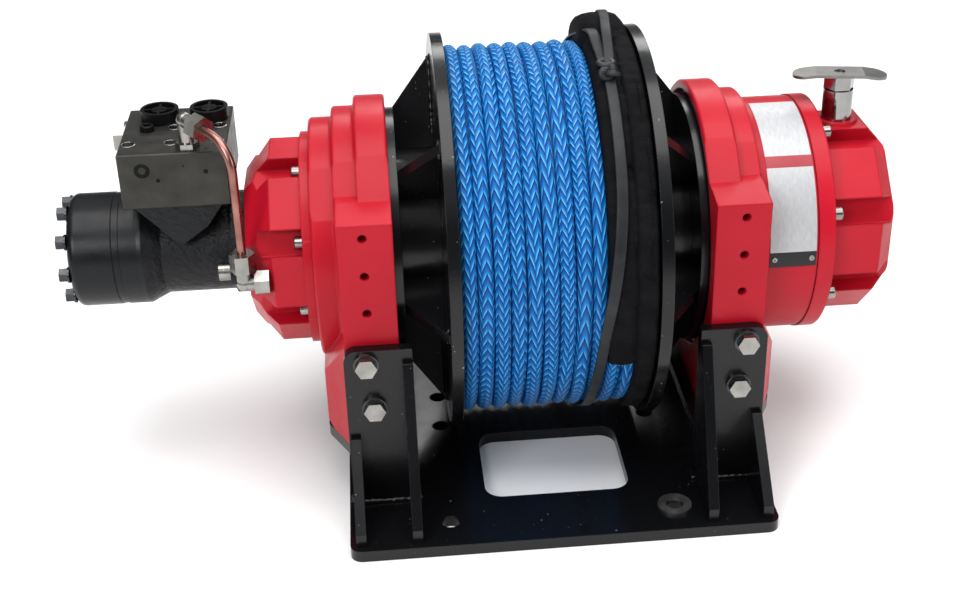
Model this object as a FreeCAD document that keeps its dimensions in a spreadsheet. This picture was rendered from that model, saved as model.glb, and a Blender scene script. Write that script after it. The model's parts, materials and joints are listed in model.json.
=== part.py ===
import FreeCAD, Part
import Sketcher
import math
import os
from FreeCAD import Placement, Rotation, Vector

# Planetary mooring winch: a drum carried between two gear housings that are bolted to a
# welded base frame, with a hydraulic motor on the brake end and a hand clutch on the other.
# X runs along the drum axis (+X to the clutch), -Y is the front, Z is up. The origin is the
# centre of the base bolt pattern, on the underside of the base plate. Millimetres.

DIMENSIONS = {
    # base frame
    "axis_height": (233.3, "drum axis above the underside of the base plate"),
    "base_width": (421.0, "base plate along the drum axis"),
    "base_depth": (484.0, "base plate front to back"),
    "plate_thickness": (12.0, "base plate, uprights and shelves"),
    "plate_corner": (12.0, "rounded corners of the plates"),
    "window_width": (147.0, "each window in the base plate, along the drum axis"),
    "window_depth": (117.0, "each window, front to back"),
    "window_offset": (109.0, "window centre from the drum axis, in plan"),
    "window_corner": (18.0, "corner radius of the windows"),
    "hole_span": (223.5, "base holes, left to right"),
    "hole_row_outer": (203.5, "outer rows of base holes from the drum axis"),
    "hole_row_inner": (29.5, "inner rows of base holes from the drum axis"),
    "base_hole_radius": (9.0, "base holes, for M16"),
    "washer_radius": (17.0, "loose washer on the base"),
    "washer_thickness": (3.0, "loose washer on the base"),
    "frame_inside": (140.0, "inner edge of the uprights from the middle plane"),
    "upright_width": (66.0, "uprights along the drum axis"),
    "upright_top": (186.8, "top of the uprights above the underside"),
    "gusset_thickness": (10.0, "gusset plates"),
    "gusset_reach": (72.5, "gussets in front of the uprights"),
    "gusset_nose": (14.0, "upright nose of each gusset on the base plate"),
    "gusset_land": (6.0, "short flat top of each gusset"),
    "gusset_setback": (1.6, "outer gusset in from the upright's outer edge"),
    "inner_gusset_top": (173.7, "top of the inner gussets"),
    "outer_gusset_top": (91.5, "top of the outer gussets"),
    "shelf_top": (73.0, "top of the shelf under each housing foot"),
    "bolt_inset_upper": (184.8, "upper bracket bolts from the middle plane"),
    "bolt_inset_lower": (179.0, "lower bracket bolts from the middle plane"),
    "bolt_height_upper": (173.2, "upper bracket bolts above the underside"),
    "bolt_height_lower": (124.8, "lower bracket bolts above the underside"),
    "bolt_radius": (6.0, "bracket bolts, M12"),
    "bolt_grip": (20.0, "bracket bolts into the housing pad"),
    "screw_clearance": (0.1, "between a screw and the hole it fills"),
    # housings
    "cheek_inside": (152.0, "inner faces of the housings from the middle plane"),
    "cheek_width": (31.3, "largest ring of each housing"),
    "cheek_radius": (141.5, "largest ring of each housing"),
    "step_width": (22.5, "second ring of each housing"),
    "step_radius": (131.5, "second ring of each housing"),
    "collar_width": (23.2, "third ring, brake end only"),
    "collar_radius": (121.5, "third ring, brake end only"),
    "ring_flat_depth": (3.0, "depth of the shallow flats milled on the rings at 45 degrees"),
    "ring_bevel": (2.0, "bevelled edges of the rings"),
    "pad_half_depth": (149.5, "front and rear pads of the housings from the drum axis"),
    "pad_width": (52.5, "pads along the drum axis"),
    "pad_rise": (79.7, "top edge of the pads above the drum axis"),
    "pad_slope_rise": (6.0, "rise of the sloped land behind the pad's top edge"),
    "pad_slope_depth": (38.0, "depth of that sloped land"),
    "foot_overhang": (22.5, "foot beyond the pad, away from the drum"),
    "foot_corner_depth": (44.0, "plan chamfer of the foot, front to back"),
    "foot_side_height": (64.0, "vertical side of the foot above the shelf"),
    "foot_slope_height": (48.0, "slope from the foot up to the pad"),
    "foot_toe": (6.0, "small chamfer along the bottom of the foot"),
    "spare_hole_offset": (180.4, "spare threaded holes from the middle plane"),
    "spare_hole_top": (299.4, "highest spare hole above the underside"),
    "spare_hole_pitch": (39.2, "spacing of the spare holes"),
    "spare_hole_radius": (4.2, "spare holes, tapped M10"),
    "spare_hole_depth": (22.0, "depth of the spare holes"),
    # drum
    "drum_inside": (184.8, "between the flanges"),
    "flange_thickness": (11.5, "drum flanges"),
    "flange_radius": (200.0, "drum flanges"),
    "barrel_radius": (110.0, "drum barrel"),
    "hub_tube_radius": (85.0, "tube between a flange and its end disc"),
    "hub_disc_radius": (128.0, "end disc inside the housing's rim"),
    "hub_disc_thickness": (12.0, "end disc"),
    "hub_disc_face": (156.0, "outer face of the end disc from the middle plane"),
    "running_gap": (5.0, "between the end disc and the housing"),
    "rib_root": (180.0, "radius where each rib meets the flange"),
    "rib_thickness": (10.0, "ribs between flange and end disc"),
    "rib_count": (6.0, "ribs on each side of the drum"),
    "rib_first_angle": (40.0, "first rib from the top, towards the front"),
    "journal_radius": (60.0, "drum journals in the housings"),
    "journal_length": (24.0, "drum journals inside the housings"),
    "journal_clearance": (0.3, "running clearance of the journals"),
    # rope and its cover
    "rope_diameter": (15.3, "plaited rope, and the pitch of its turns"),
    "rope_turns": (9.0, "open turns in the top layer"),
    "rope_top": (188.0, "radius over the top layer"),
    "soft_clearance": (0.3, "between the soft parts and what they touch"),
    "sleeve_top": (205.0, "radius over the rope sleeve"),
    "sleeve_bulge_top": (212.0, "radius over the folded part of the sleeve"),
    "strap_width": (10.0, "rubber tie strap"),
    "strap_thickness": (3.0, "rubber tie strap"),
    # brake end
    "bell_flange_radius": (107.0, "round flange of the brake bell"),
    "bell_flange_width": (9.5, "round flange of the brake bell"),
    "lobe_apothem": (99.5, "flats of the eight-sided castings from the axis"),
    "bell_lobe_width": (30.0, "straight part of the bell's lobes"),
    "bell_cone_width": (26.5, "tapered part of the bell"),
    "bell_nose_apothem": (67.5, "flats at the bell's small end"),
    "pocket_width": (26.0, "screw pockets between the lobes"),
    "pocket_floor": (86.0, "floor of the screw pockets from the axis"),
    "bell_screw_circle": (94.0, "radius of the bell's screw circle"),
    "cover_screw_circle": (113.5, "radius of the clutch cover's screw circle"),
    "cap_screw_radius": (4.0, "cover screws, M8"),
    "cap_head_radius": (6.5, "heads of the cover screws"),
    "cap_head_height": (8.0, "heads of the cover screws"),
    "cap_screw_grip": (14.0, "cover screws below their heads"),
    # motor
    "motor_radius": (57.0, "gear section of the motor"),
    "neck_radius": (48.0, "neck of the motor"),
    "motor_flange_width": (16.0, "two-bolt flange"),
    "neck_width": (69.0, "neck of the motor"),
    "neck_taper": (18.0, "taper from the neck to the gear section"),
    "gear_section_width": (21.7, "cast part of the gear section"),
    "spacer_width": (7.0, "spacer plate"),
    "end_cover_width": (43.8, "end cover"),
    "end_cover_round": (8.0, "rounded edge of the end cover"),
    "end_bolt_circle": (47.5, "radius of the end bolts' circle"),
    "end_bolt_count": (9.0, "end bolts"),
    "motor_bolt_offset": (67.0, "flange screws from the axis"),
    "motor_ear_radius": (15.0, "ears of the two-bolt flange"),
    # valve block and brake pipe
    "block_inner": (304.7, "valve block's right face from the middle plane"),
    "block_width": (102.8, "valve block along the drum axis"),
    "block_front": (60.0, "valve block in front of the axis"),
    "block_depth": (120.0, "valve block front to back"),
    "block_bottom": (68.0, "underside of the valve block above the axis"),
    "block_height": (55.7, "valve block"),
    "saddle_half_depth": (54.0, "motor saddle under the block"),
    "port_cap_radius": (18.7, "port caps"),
    "port_cap_height": (12.0, "port caps"),
    "pipe_radius": (4.4, "copper brake pipe"),
    "pipe_wall": (1.0, "copper brake pipe"),
    "nut_flats": (11.0, "pipe nuts, centre to flat"),
    # clutch end
    "gear_case_radius": (120.5, "gear case"),
    "gear_case_width": (56.5, "gear case"),
    "cover_flange_radius": (121.5, "flange of the clutch cover"),
    "cover_flange_width": (16.5, "flange of the clutch cover"),
    "cover_lobe_width": (53.0, "straight part of the cover's lobes"),
    "cover_cone_width": (16.5, "tapered part of the cover"),
    "cover_nose_apothem": (81.0, "flats at the cover's small end"),
    "seam_gap": (0.0, "joint between gear case and clutch cover"),
    "plate_gauge": (1.0, "bare label plate"),
    "plate_margin": (2.5, "bare label plate from the seam of the gear case"),
    "plate_width": (46.0, "bare label plate along the drum axis"),
    "clutch_offset": (305.8, "clutch handle from the middle plane"),
    "boss_radius": (21.0, "clutch boss on the cover"),
    "boss_top": (102.8, "top of the clutch boss above the axis"),
    "collar_tube_radius": (15.0, "clutch collar"),
    "collar_tube_top": (134.0, "top of the clutch collar above the axis"),
    "collar_seat_depth": (8.0, "spot face that holds the collar"),
    "plunger_radius": (8.0, "clutch plunger"),
    "plunger_clearance": (0.3, "around the plunger"),
    "clutch_hex_flats": (13.5, "hexagon under the handle, centre to flat"),
    "clutch_hex_height": (13.4, "hexagon under the handle"),
    "handle_length": (94.0, "clutch handle"),
    "handle_width": (28.0, "clutch handle"),
    "handle_thickness": (3.0, "clutch handle"),
    "handle_droop": (3.0, "ends of the handle below its middle"),
    "handle_hole_radius": (5.5, "screw hole in the middle of the handle"),
    "handle_gap": (1.0, "between collar and hexagon"),
}


class Size:
    """A number together with the sheet formula that it comes from."""

    def __init__(self, number, formula):
        self.number = float(number)
        self.formula = formula

    @staticmethod
    def of(other):
        return other if isinstance(other, Size) else Size(other, f"({float(other)!r})")

    def __add__(self, other):
        other = Size.of(other)
        return Size(self.number + other.number, f"({self.formula} + {other.formula})")

    def __sub__(self, other):
        other = Size.of(other)
        return Size(self.number - other.number, f"({self.formula} - {other.formula})")

    def __mul__(self, other):
        other = Size.of(other)
        return Size(self.number * other.number, f"({self.formula} * {other.formula})")

    def __truediv__(self, other):
        other = Size.of(other)
        return Size(self.number / other.number, f"({self.formula} / {other.formula})")

    def __neg__(self):
        return self * -1

    def __radd__(self, other):
        return Size.of(other) + self

    def __rsub__(self, other):
        return Size.of(other) - self

    def __rmul__(self, other):
        return Size.of(other) * self


class Sheet:
    """The driving dimensions, each read as an attribute."""

    def __init__(self, document, dimensions):
        self.cells = document.addObject("Spreadsheet::Sheet", "Sizes")
        for row, (alias, (number, meaning)) in enumerate(dimensions.items(), start=1):
            self.cells.set(f"A{row}", meaning)
            self.cells.set(f"B{row}", str(number))
            self.cells.setAlias(f"B{row}", alias)
            setattr(self, alias, Size(number, f"Sizes.{alias}"))


doc = FreeCAD.newDocument("mooring_winch")
d = Sheet(doc, DIMENSIONS)
doc.recompute()

LEFT, RIGHT = -1, 1
FRONT, REAR = -1, 1
ALONG_X = Rotation(Vector(0, 1, 0), 90)
ALONG_MINUS_X = Rotation(Vector(0, 1, 0), -90)
ALONG_Y = Rotation(Vector(1, 0, 0), -90)
ALONG_MINUS_Y = Rotation(Vector(1, 0, 0), 90)
ALONG_Z = Rotation()
PLANES = {
    "XY": Rotation(),
    "XZ": Rotation(Vector(1, 0, 0), 90),
    "YZ": Rotation(Vector(1, 1, 1), 120),
}
sub_parts = []


# ---------------------------------------------------------------- modelling helpers


def bind(thing, name, size):
    """Drive one property from the sheet."""
    thing.setExpression(name, Size.of(size).formula)


def place(thing, x=0, y=0, z=0, turn=ALONG_Z):
    thing.Placement = Placement(Vector(), turn)
    for axis, size in zip("xyz", (x, y, z)):
        bind(thing, f"Placement.Base.{axis}", size)
    return thing


def sub_part(thing, label):
    """Name a finished piece; the label is also its file's name."""
    thing.Label = label
    sub_parts.append(thing)
    return thing


def box(name, length, width, height, x=0, y=0, z=0, turn=ALONG_Z):
    thing = doc.addObject("Part::Box", name)
    bind(thing, "Length", length)
    bind(thing, "Width", width)
    bind(thing, "Height", height)
    return place(thing, x, y, z, turn)


def cylinder(name, radius, height, x=0, y=0, z=0, turn=ALONG_Z):
    thing = doc.addObject("Part::Cylinder", name)
    bind(thing, "Radius", radius)
    bind(thing, "Height", height)
    return place(thing, x, y, z, turn)


def hexagon(name, half_flats, height, x=0, y=0, z=0, turn=ALONG_Z):
    """A six-sided bar, sized across its flats."""
    thing = doc.addObject("Part::Prism", name)
    thing.Polygon = 6
    bind(thing, "Circumradius", half_flats / math.cos(math.pi / 6))
    bind(thing, "Height", height)
    return place(thing, x, y, z, turn)


def fuse(name, things):
    thing = doc.addObject("Part::MultiFuse", name)
    thing.Shapes = things
    thing.Refine = True
    return thing


def common(name, things):
    thing = doc.addObject("Part::MultiCommon", name)
    thing.Shapes = things
    thing.Refine = True
    return thing


def cut(name, base, tools):
    thing = doc.addObject("Part::Cut", name)
    thing.Base = base
    thing.Tool = tools[0] if len(tools) == 1 else fuse(f"{name}_tools", tools)
    thing.Refine = True
    return thing


def compound(name, things):
    """Like pieces that don't touch each other, kept as one sub-part."""
    thing = doc.addObject("Part::Compound", name)
    thing.Links = things
    return thing


def draw_outline(sketch, points):
    """A closed outline, every corner tied to the sheet in both directions."""
    first = sketch.GeometryCount
    corners = [Vector(Size.of(a).number, Size.of(b).number, 0) for a, b in points]
    count = len(corners)
    for index in range(count):
        sketch.addGeometry(Part.LineSegment(corners[index], corners[(index + 1) % count]), False)
    for index, (a, b) in enumerate(points):
        line = first + index
        before = first + (index - 1) % count
        sketch.addConstraint(Sketcher.Constraint("Coincident", before, 2, line, 1))
        tie_point(sketch, line, 1, a, b)


def tie_point(sketch, geometry, end, a, b):
    for kind, size in (("DistanceX", a), ("DistanceY", b)):
        size = Size.of(size)
        number = sketch.addConstraint(
            Sketcher.Constraint(kind, -1, 1, geometry, end, size.number)
        )
        if "Sizes" in size.formula:
            bind(sketch, f"Constraints[{number}]", size)


def draw_circle(sketch, a, b, radius):
    centre = Vector(Size.of(a).number, Size.of(b).number, 0)
    geometry = sketch.addGeometry(Part.Circle(centre, Vector(0, 0, 1), radius.number), False)
    tie_point(sketch, geometry, 3, a, b)
    number = sketch.addConstraint(Sketcher.Constraint("Radius", geometry, radius.number))
    bind(sketch, f"Constraints[{number}]", radius)


def body_sketch(body, role, name):
    """An empty sketch on one of the body's own origin planes."""
    sketch = body.newObject("Sketcher::SketchObject", name)
    plane = next(item for item in body.Origin.OriginFeatures if item.Role == role)
    sketch.AttachmentSupport = [(plane, "")]
    sketch.MapMode = "FlatFace"
    return sketch


def origin_axis(body, role):
    return next(item for item in body.Origin.OriginFeatures if item.Role == role)


def pad(body, sketch, length, name, reverse=False, both_ways=False):
    feature = body.newObject("PartDesign::Pad", name)
    feature.Profile = sketch
    bind(feature, "Length", length)
    feature.Reversed = reverse
    feature.Midplane = both_ways
    return feature


def pocket(body, sketch, name, depth=None, reverse=False):
    """Cut a sketch out of the body, checked to remove material."""
    doc.recompute()
    before = body.Shape.Volume
    feature = body.newObject("PartDesign::Pocket", name)
    feature.Profile = sketch
    feature.Reversed = reverse
    if depth is None:
        feature.Type = "ThroughAll"
        feature.Midplane = True
    else:
        bind(feature, "Length", depth)
    doc.recompute()
    if body.Shape.Volume >= before:
        raise RuntimeError(f"{name} removes nothing")
    return feature


def revolution(body, sketch, name):
    feature = body.newObject("PartDesign::Revolution", name)
    feature.Profile = sketch
    feature.ReferenceAxis = (origin_axis(body, "X_Axis"), [""])
    feature.Angle = 360.0
    return feature


def round_edges(body, radius, name, chosen):
    """Fillet the edges that a test picks from the body's present shape."""
    doc.recompute()
    tip = body.Tip
    edges = [f"Edge{n}" for n, edge in enumerate(tip.Shape.Edges, start=1) if chosen(edge)]
    feature = body.newObject("PartDesign::Fillet", name)
    feature.Base = (tip, edges)
    bind(feature, "Radius", radius)
    return feature


def bevel_edges(body, width, name, chosen):
    """Chamfer the edges that a test picks from the body's present shape."""
    doc.recompute()
    tip = body.Tip
    edges = [f"Edge{n}" for n, edge in enumerate(tip.Shape.Edges, start=1) if chosen(edge)]
    feature = body.newObject("PartDesign::Chamfer", name)
    feature.Base = (tip, edges)
    bind(feature, "Size", width)
    return feature


def is_upright(edge):
    """A straight edge along the sketch normal of a plate lying flat."""
    box_ = edge.BoundBox
    return box_.XLength < 1e-6 and box_.YLength < 1e-6


def extrusion(name, plane, points, start, length):
    """A prism of an outline drawn in a world plane, from start along its normal."""
    sketch = doc.addObject("Sketcher::SketchObject", f"{name}_outline")
    offset = {"XY": {"z": start}, "XZ": {"y": start}, "YZ": {"x": start}}[plane]
    place(sketch, turn=PLANES[plane], **offset)
    draw_outline(sketch, points)
    thing = doc.addObject("Part::Extrusion", name)
    thing.Base = sketch
    thing.DirMode = "Normal"
    thing.Solid = True
    bind(thing, "LengthFwd", length)
    return thing


def turned(name, points, z=0, x=0, turn=ALONG_Z):
    """A body of revolution about X from an outline of (along, radius) pairs."""
    body = doc.addObject("PartDesign::Body", name)
    sketch = body_sketch(body, "XY_Plane", f"{name}_profile")
    draw_outline(sketch, points)
    revolution(body, sketch, f"{name}_turned")
    place(body, x=x, z=z, turn=turn)
    return body


# ---------------------------------------------------------------- base frame

upright_face = d.pad_half_depth + d.plate_thickness
foot_outside = d.cheek_inside + d.pad_width + d.foot_overhang


def make_base_plate():
    body = doc.addObject("PartDesign::Body", "base_plate")
    plan = body_sketch(body, "XY_Plane", "base_plan")
    half_width, half_depth = d.base_width / 2, d.base_depth / 2
    draw_outline(plan, [(sx * half_width, sy * half_depth)
                        for sx, sy in ((-1, -1), (1, -1), (1, 1), (-1, 1))])
    pad(body, plan, d.plate_thickness, "base_pad")
    round_edges(body, d.plate_corner, "base_corners", is_upright)
    windows = body_sketch(body, "XY_Plane", "base_windows_plan")
    for side in (FRONT, REAR):
        middle = side * d.window_offset
        draw_outline(windows, [(sx * d.window_width / 2, middle + sy * d.window_depth / 2)
                               for sx, sy in ((-1, -1), (1, -1), (1, 1), (-1, 1))])
    pocket(body, windows, "base_windows")
    inside = (d.window_width.number / 2, d.window_offset.number + d.window_depth.number / 2)
    round_edges(body, d.window_corner, "window_corners",
                lambda edge: is_upright(edge)
                and abs(edge.CenterOfMass.x) < inside[0] + 1
                and abs(edge.CenterOfMass.y) < inside[1] + 1)
    holes = body_sketch(body, "XY_Plane", "base_holes_plan")
    for side in (LEFT, RIGHT):
        for row in (d.hole_row_outer, d.hole_row_inner):
            for end in (FRONT, REAR):
                draw_circle(holes, side * d.hole_span / 2, end * row, d.base_hole_radius)
    pocket(body, holes, "base_holes")
    sub_part(body, "base_plate")


def make_upright(side, end, label):
    """An upright plate with two bolt holes and a rounded outer top corner."""
    body = doc.addObject("PartDesign::Body", label)
    face = body_sketch(body, "XZ_Plane", f"{label}_face")
    near, far = d.frame_inside, d.frame_inside + d.upright_width
    low, high = d.plate_thickness, d.upright_top
    draw_outline(face, [(side * near, low), (side * far, low), (side * far, high),
                        (side * near, high)])
    pad(body, face, d.plate_thickness, f"{label}_pad")
    outer = side * far.number
    round_edges(body, d.plate_corner, f"{label}_corner",
                lambda edge: edge.BoundBox.XLength < 1e-6 and edge.BoundBox.ZLength < 1e-6
                and abs(edge.CenterOfMass.x - outer) < 1e-3
                and abs(edge.CenterOfMass.z - high.number) < 1e-3)
    holes = body_sketch(body, "XZ_Plane", f"{label}_bolt_holes")
    for inset, height in ((d.bolt_inset_upper, d.bolt_height_upper),
                          (d.bolt_inset_lower, d.bolt_height_lower)):
        draw_circle(holes, side * inset, height, d.bolt_radius + d.screw_clearance)
    pocket(body, holes, f"{label}_holes")
    y = -d.pad_half_depth if end == FRONT else upright_face
    place(body, y=y)
    sub_part(body, label)


def make_gussets(side, label):
    """Two tapering gussets in front of each upright: a tall inner and a low outer one."""
    inner = d.frame_inside
    outer = d.frame_inside + d.upright_width - d.gusset_setback - d.gusset_thickness
    pieces = []
    for end in (FRONT, REAR):
        foot = upright_face + d.gusset_reach
        for name, near, top in (("inner", inner, d.inner_gusset_top),
                                ("outer", outer, d.outer_gusset_top)):
            start = near if side == RIGHT else -(near + d.gusset_thickness)
            pieces.append(extrusion(
                f"{label}_{name}_{'front' if end == FRONT else 'rear'}", "YZ",
                [(end * upright_face, d.plate_thickness), (end * foot, d.plate_thickness),
                 (end * foot, d.plate_thickness + d.gusset_nose),
                 (end * (upright_face + d.gusset_land), top), (end * upright_face, top)],
                start, d.gusset_thickness))
    sub_part(compound(label, pieces), label)


def foot_plan(side, inside):
    """Plan of a housing's foot: a rectangle with its two outer corners cut back."""
    pad_outside = d.cheek_inside + d.pad_width
    shoulder = d.pad_half_depth - d.foot_corner_depth
    half = [(inside, -d.pad_half_depth), (pad_outside, -d.pad_half_depth),
            (foot_outside, -shoulder), (foot_outside, shoulder),
            (pad_outside, d.pad_half_depth), (inside, d.pad_half_depth)]
    return [(side * x, y) for x, y in half]


def make_shelf(side, label):
    body = doc.addObject("PartDesign::Body", label)
    plan = body_sketch(body, "XY_Plane", f"{label}_plan")
    draw_outline(plan, foot_plan(side, d.frame_inside))
    pad(body, plan, d.plate_thickness, f"{label}_pad")
    outside = foot_outside.number
    round_edges(body, d.plate_corner, f"{label}_corners",
                lambda edge: is_upright(edge)
                and abs(abs(edge.CenterOfMass.x) - outside) < 1e-3)
    place(body, z=d.shelf_top - d.plate_thickness)
    sub_part(body, label)


def make_base_washer():
    disc = cylinder("washer_disc", d.washer_radius, d.washer_thickness,
                    d.hole_span / 2, -d.hole_row_outer, d.plate_thickness)
    hole = cylinder("washer_hole", d.base_hole_radius, d.washer_thickness,
                    d.hole_span / 2, -d.hole_row_outer, d.plate_thickness)
    sub_part(cut("base_washer", disc, [hole]), "base_washer")


# ---------------------------------------------------------------- housings

recess_radius = d.hub_disc_radius + d.running_gap
recess_floor = d.hub_disc_face + d.running_gap


def make_housing(side, label, rings):
    """A stepped round casting over a broad foot, with flat pads front and rear."""
    pad_outside = d.cheek_inside + d.pad_width
    bottom = d.shelf_top
    side_top = bottom + d.foot_side_height
    pad_top = d.axis_height + d.pad_rise
    land_top = pad_top + d.pad_slope_rise
    front_view = extrusion(f"{label}_front_view", "XZ", [
        (side * d.cheek_inside, bottom),
        (side * (foot_outside - d.foot_toe), bottom),
        (side * foot_outside, bottom + d.foot_toe),
        (side * foot_outside, side_top),
        (side * pad_outside, side_top + d.foot_slope_height),
        (side * pad_outside, land_top),
        (side * d.cheek_inside, land_top)],
        d.pad_half_depth, d.pad_half_depth * 2)
    depth, land = d.pad_half_depth, d.pad_half_depth - d.pad_slope_depth
    side_view = extrusion(f"{label}_side_view", "YZ", [
        (-depth, bottom), (depth, bottom), (depth, pad_top), (land, land_top),
        (-land, land_top), (-depth, pad_top)],
        side * d.cheek_inside if side == RIGHT else -foot_outside,
        foot_outside - d.cheek_inside)
    plan = extrusion(f"{label}_plan", "XY", foot_plan(side, d.cheek_inside),
                     bottom, land_top - bottom)
    block = common(f"{label}_block", [front_view, side_view, plan])

    outline = [(d.cheek_inside, 0)]
    start = d.cheek_inside
    for width, radius in rings:
        outline.append((start, radius))
        start = start + width
        outline.append((start, radius))
    outline.append((start, 0))
    round_part = turned(f"{label}_rings", [(side * x, r) for x, r in outline], z=d.axis_height)
    crests = [radius.number for _, radius in rings]
    bevel_edges(round_part, d.ring_bevel, f"{label}_ring_edges",
                lambda edge: hasattr(edge.Curve, "Radius")
                and min(abs(edge.Curve.Radius - crest) for crest in crests) < 1e-6
                and is_crest(edge, rings))
    milled = mill_flats(f"{label}_milled", round_part, side, rings)
    casting = fuse(f"{label}_casting", [block, milled])

    facing = ALONG_X if side == RIGHT else ALONG_MINUS_X
    tools = [
        cylinder(f"{label}_recess", recess_radius, recess_floor - d.cheek_inside,
                 side * d.cheek_inside, 0, d.axis_height, facing),
        cylinder(f"{label}_bore", d.journal_radius + d.journal_clearance,
                 d.journal_length + d.running_gap * 2,
                 side * (recess_floor - d.running_gap), 0, d.axis_height, facing),
    ]
    if side == LEFT:
        tools += screw_bores(f"{label}_bell_tap", d.bell_screw_circle,
                             d.cap_screw_radius + d.screw_clearance, d.cap_screw_grip,
                             -bell_start, ALONG_X, SCREWS_ROUND, HALF_STEP)
    else:
        tools.append(cylinder(f"{label}_cradle", d.gear_case_radius, d.gear_case_width,
                              case_start, 0, d.axis_height, ALONG_X))
    for end, inward in ((FRONT, ALONG_Y), (REAR, ALONG_MINUS_Y)):
        name = "front" if end == FRONT else "rear"
        for index in range(3):
            tools.append(cylinder(f"{label}_{name}_spare_{index}", d.spare_hole_radius,
                                  d.spare_hole_depth, side * d.spare_hole_offset,
                                  end * d.pad_half_depth,
                                  d.spare_hole_top - d.spare_hole_pitch * index, inward))
        for inset, height in ((d.bolt_inset_upper, d.bolt_height_upper),
                              (d.bolt_inset_lower, d.bolt_height_lower)):
            tools.append(cylinder(f"{label}_{name}_tap", d.bolt_radius + d.screw_clearance,
                                  d.bolt_grip, side * inset, end * d.pad_half_depth,
                                  height, inward))
    sub_part(cut(label, casting, tools), label)


def is_crest(edge, rings):
    """True for an outer rim of a ring, false for the root where the next ring starts."""
    reach = abs(edge.CenterOfMass.x)
    start = DIMENSIONS["cheek_inside"][0]
    for width, radius in rings:
        for rim in (start, start + width.number):
            if abs(reach - rim) < 1e-3 and abs(edge.Curve.Radius - radius.number) < 1e-3:
                return True
        start += width.number
    return False


def mill_flats(name, round_part, side, rings):
    """Shallow flats across the rings, facing 45 degrees up at the front and rear."""
    tools = []
    start = d.cheek_inside
    for index, (width, radius) in enumerate(rings):
        for end in (FRONT, REAR):
            height = radius - d.ring_flat_depth
            slab = box(f"{name}_{index}_{'front' if end == FRONT else 'rear'}",
                       width, radius * 2, d.ring_flat_depth * 2)
            slab.Placement = Placement(Vector(), Rotation(Vector(1, 0, 0), -45 * end))
            lean = math.sqrt(0.5)
            near = start if side == RIGHT else -(start + width)
            # the slab's lower corner, turned with it about the drum axis
            bind(slab, "Placement.Base.x", near)
            bind(slab, "Placement.Base.y", end * height * lean - radius * lean)
            bind(slab, "Placement.Base.z",
                 d.axis_height + height * lean + end * radius * lean)
            tools.append(slab)
        start = start + width
    return cut(name, round_part, tools)


def make_bracket_bolts(side, label):
    """M12 hexagon bolts with flat washers through both uprights into the housing."""
    pieces = []
    for end in (FRONT, REAR):
        outward = ALONG_MINUS_Y if end == FRONT else ALONG_Y
        inward = ALONG_Y if end == FRONT else ALONG_MINUS_Y
        for index, (inset, height) in enumerate(((d.bolt_inset_upper, d.bolt_height_upper),
                                                 (d.bolt_inset_lower, d.bolt_height_lower))):
            name = f"{label}_{'front' if end == FRONT else 'rear'}_{index}"
            where = (side * inset, end * upright_face, height)
            beyond = (side * inset, end * (upright_face + 4.0), height)
            washer = cylinder(f"{name}_washer", d.bolt_radius * 2, 4.0, *where, outward)
            head = hexagon(f"{name}_head", d.bolt_radius * 1.55, 8.0, *beyond, outward)
            shank = cylinder(f"{name}_shank", d.bolt_radius,
                             d.plate_thickness + d.bolt_grip - 1.0, *where, inward)
            pieces.append(fuse(name, [washer, head, shank]))
    sub_part(compound(label, pieces), label)


# ---------------------------------------------------------------- eight-sided castings


def octagon(apothem, turn=22.5):
    """Corners of an octagon whose flats face the axes, about the sketch's origin."""
    corner = apothem / math.cos(math.radians(22.5))
    angles = [math.radians(turn + 45 * index) for index in range(8)]
    return [(corner * math.cos(a), corner * math.sin(a)) for a in angles]


def make_lobed_casting(name, flange_radius, flange_width, lobe_width, cone_width, nose):
    """An eight-sided end casting along +X: round flange, lobes, taper and screw pockets."""
    body = doc.addObject("PartDesign::Body", name)
    disc = body_sketch(body, "YZ_Plane", f"{name}_flange_face")
    draw_circle(disc, 0, 0, flange_radius)
    pad(body, disc, flange_width, f"{name}_flange")
    lobes = body_sketch(body, "YZ_Plane", f"{name}_lobe_face")
    draw_outline(lobes, octagon(d.lobe_apothem))
    pad(body, lobes, flange_width + lobe_width, f"{name}_lobes")
    wide = body_sketch(body, "YZ_Plane", f"{name}_taper_start")
    bind(wide, "AttachmentOffset.Base.z", flange_width + lobe_width)
    draw_outline(wide, octagon(d.lobe_apothem))
    narrow = body_sketch(body, "YZ_Plane", f"{name}_taper_end")
    bind(narrow, "AttachmentOffset.Base.z", flange_width + lobe_width + cone_width)
    draw_outline(narrow, octagon(nose))
    taper = body.newObject("PartDesign::AdditiveLoft", f"{name}_taper")
    taper.Profile = wide
    taper.Sections = [narrow]
    taper.Ruled = True
    slot = body_sketch(body, "YZ_Plane", f"{name}_pocket_face")
    bind(slot, "AttachmentOffset.Base.z", flange_width)
    reach = flange_radius * 1.3
    half = d.pocket_width / 2
    slant = math.radians(22.5)
    corners = [(d.pocket_floor, -half), (reach, -half), (reach, half), (d.pocket_floor, half)]
    draw_outline(slot, [(a * math.cos(slant) - b * math.sin(slant),
                         a * math.sin(slant) + b * math.cos(slant)) for a, b in corners])
    notch = pocket(body, slot, f"{name}_pocket", lobe_width + cone_width, reverse=True)
    around = body.newObject("PartDesign::PolarPattern", f"{name}_pockets")
    around.Originals = [notch]
    around.Axis = (origin_axis(body, "X_Axis"), [""])
    around.Angle = 360.0
    around.Occurrences = 8
    body.Tip = around
    return body


def ring_of_screws(name, circle, radius, x, toward, count, first_angle, make_one):
    """Screws spaced evenly round the drum axis, each made at the top and turned about X."""
    pieces = []
    for index in range(count):
        angle = math.radians(first_angle + 360.0 / count * index)
        pieces.append(make_one(f"{name}_{index}", x, circle * math.sin(angle) * -1,
                               d.axis_height + circle * math.cos(angle), toward, radius))
    return compound(name, pieces)


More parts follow.
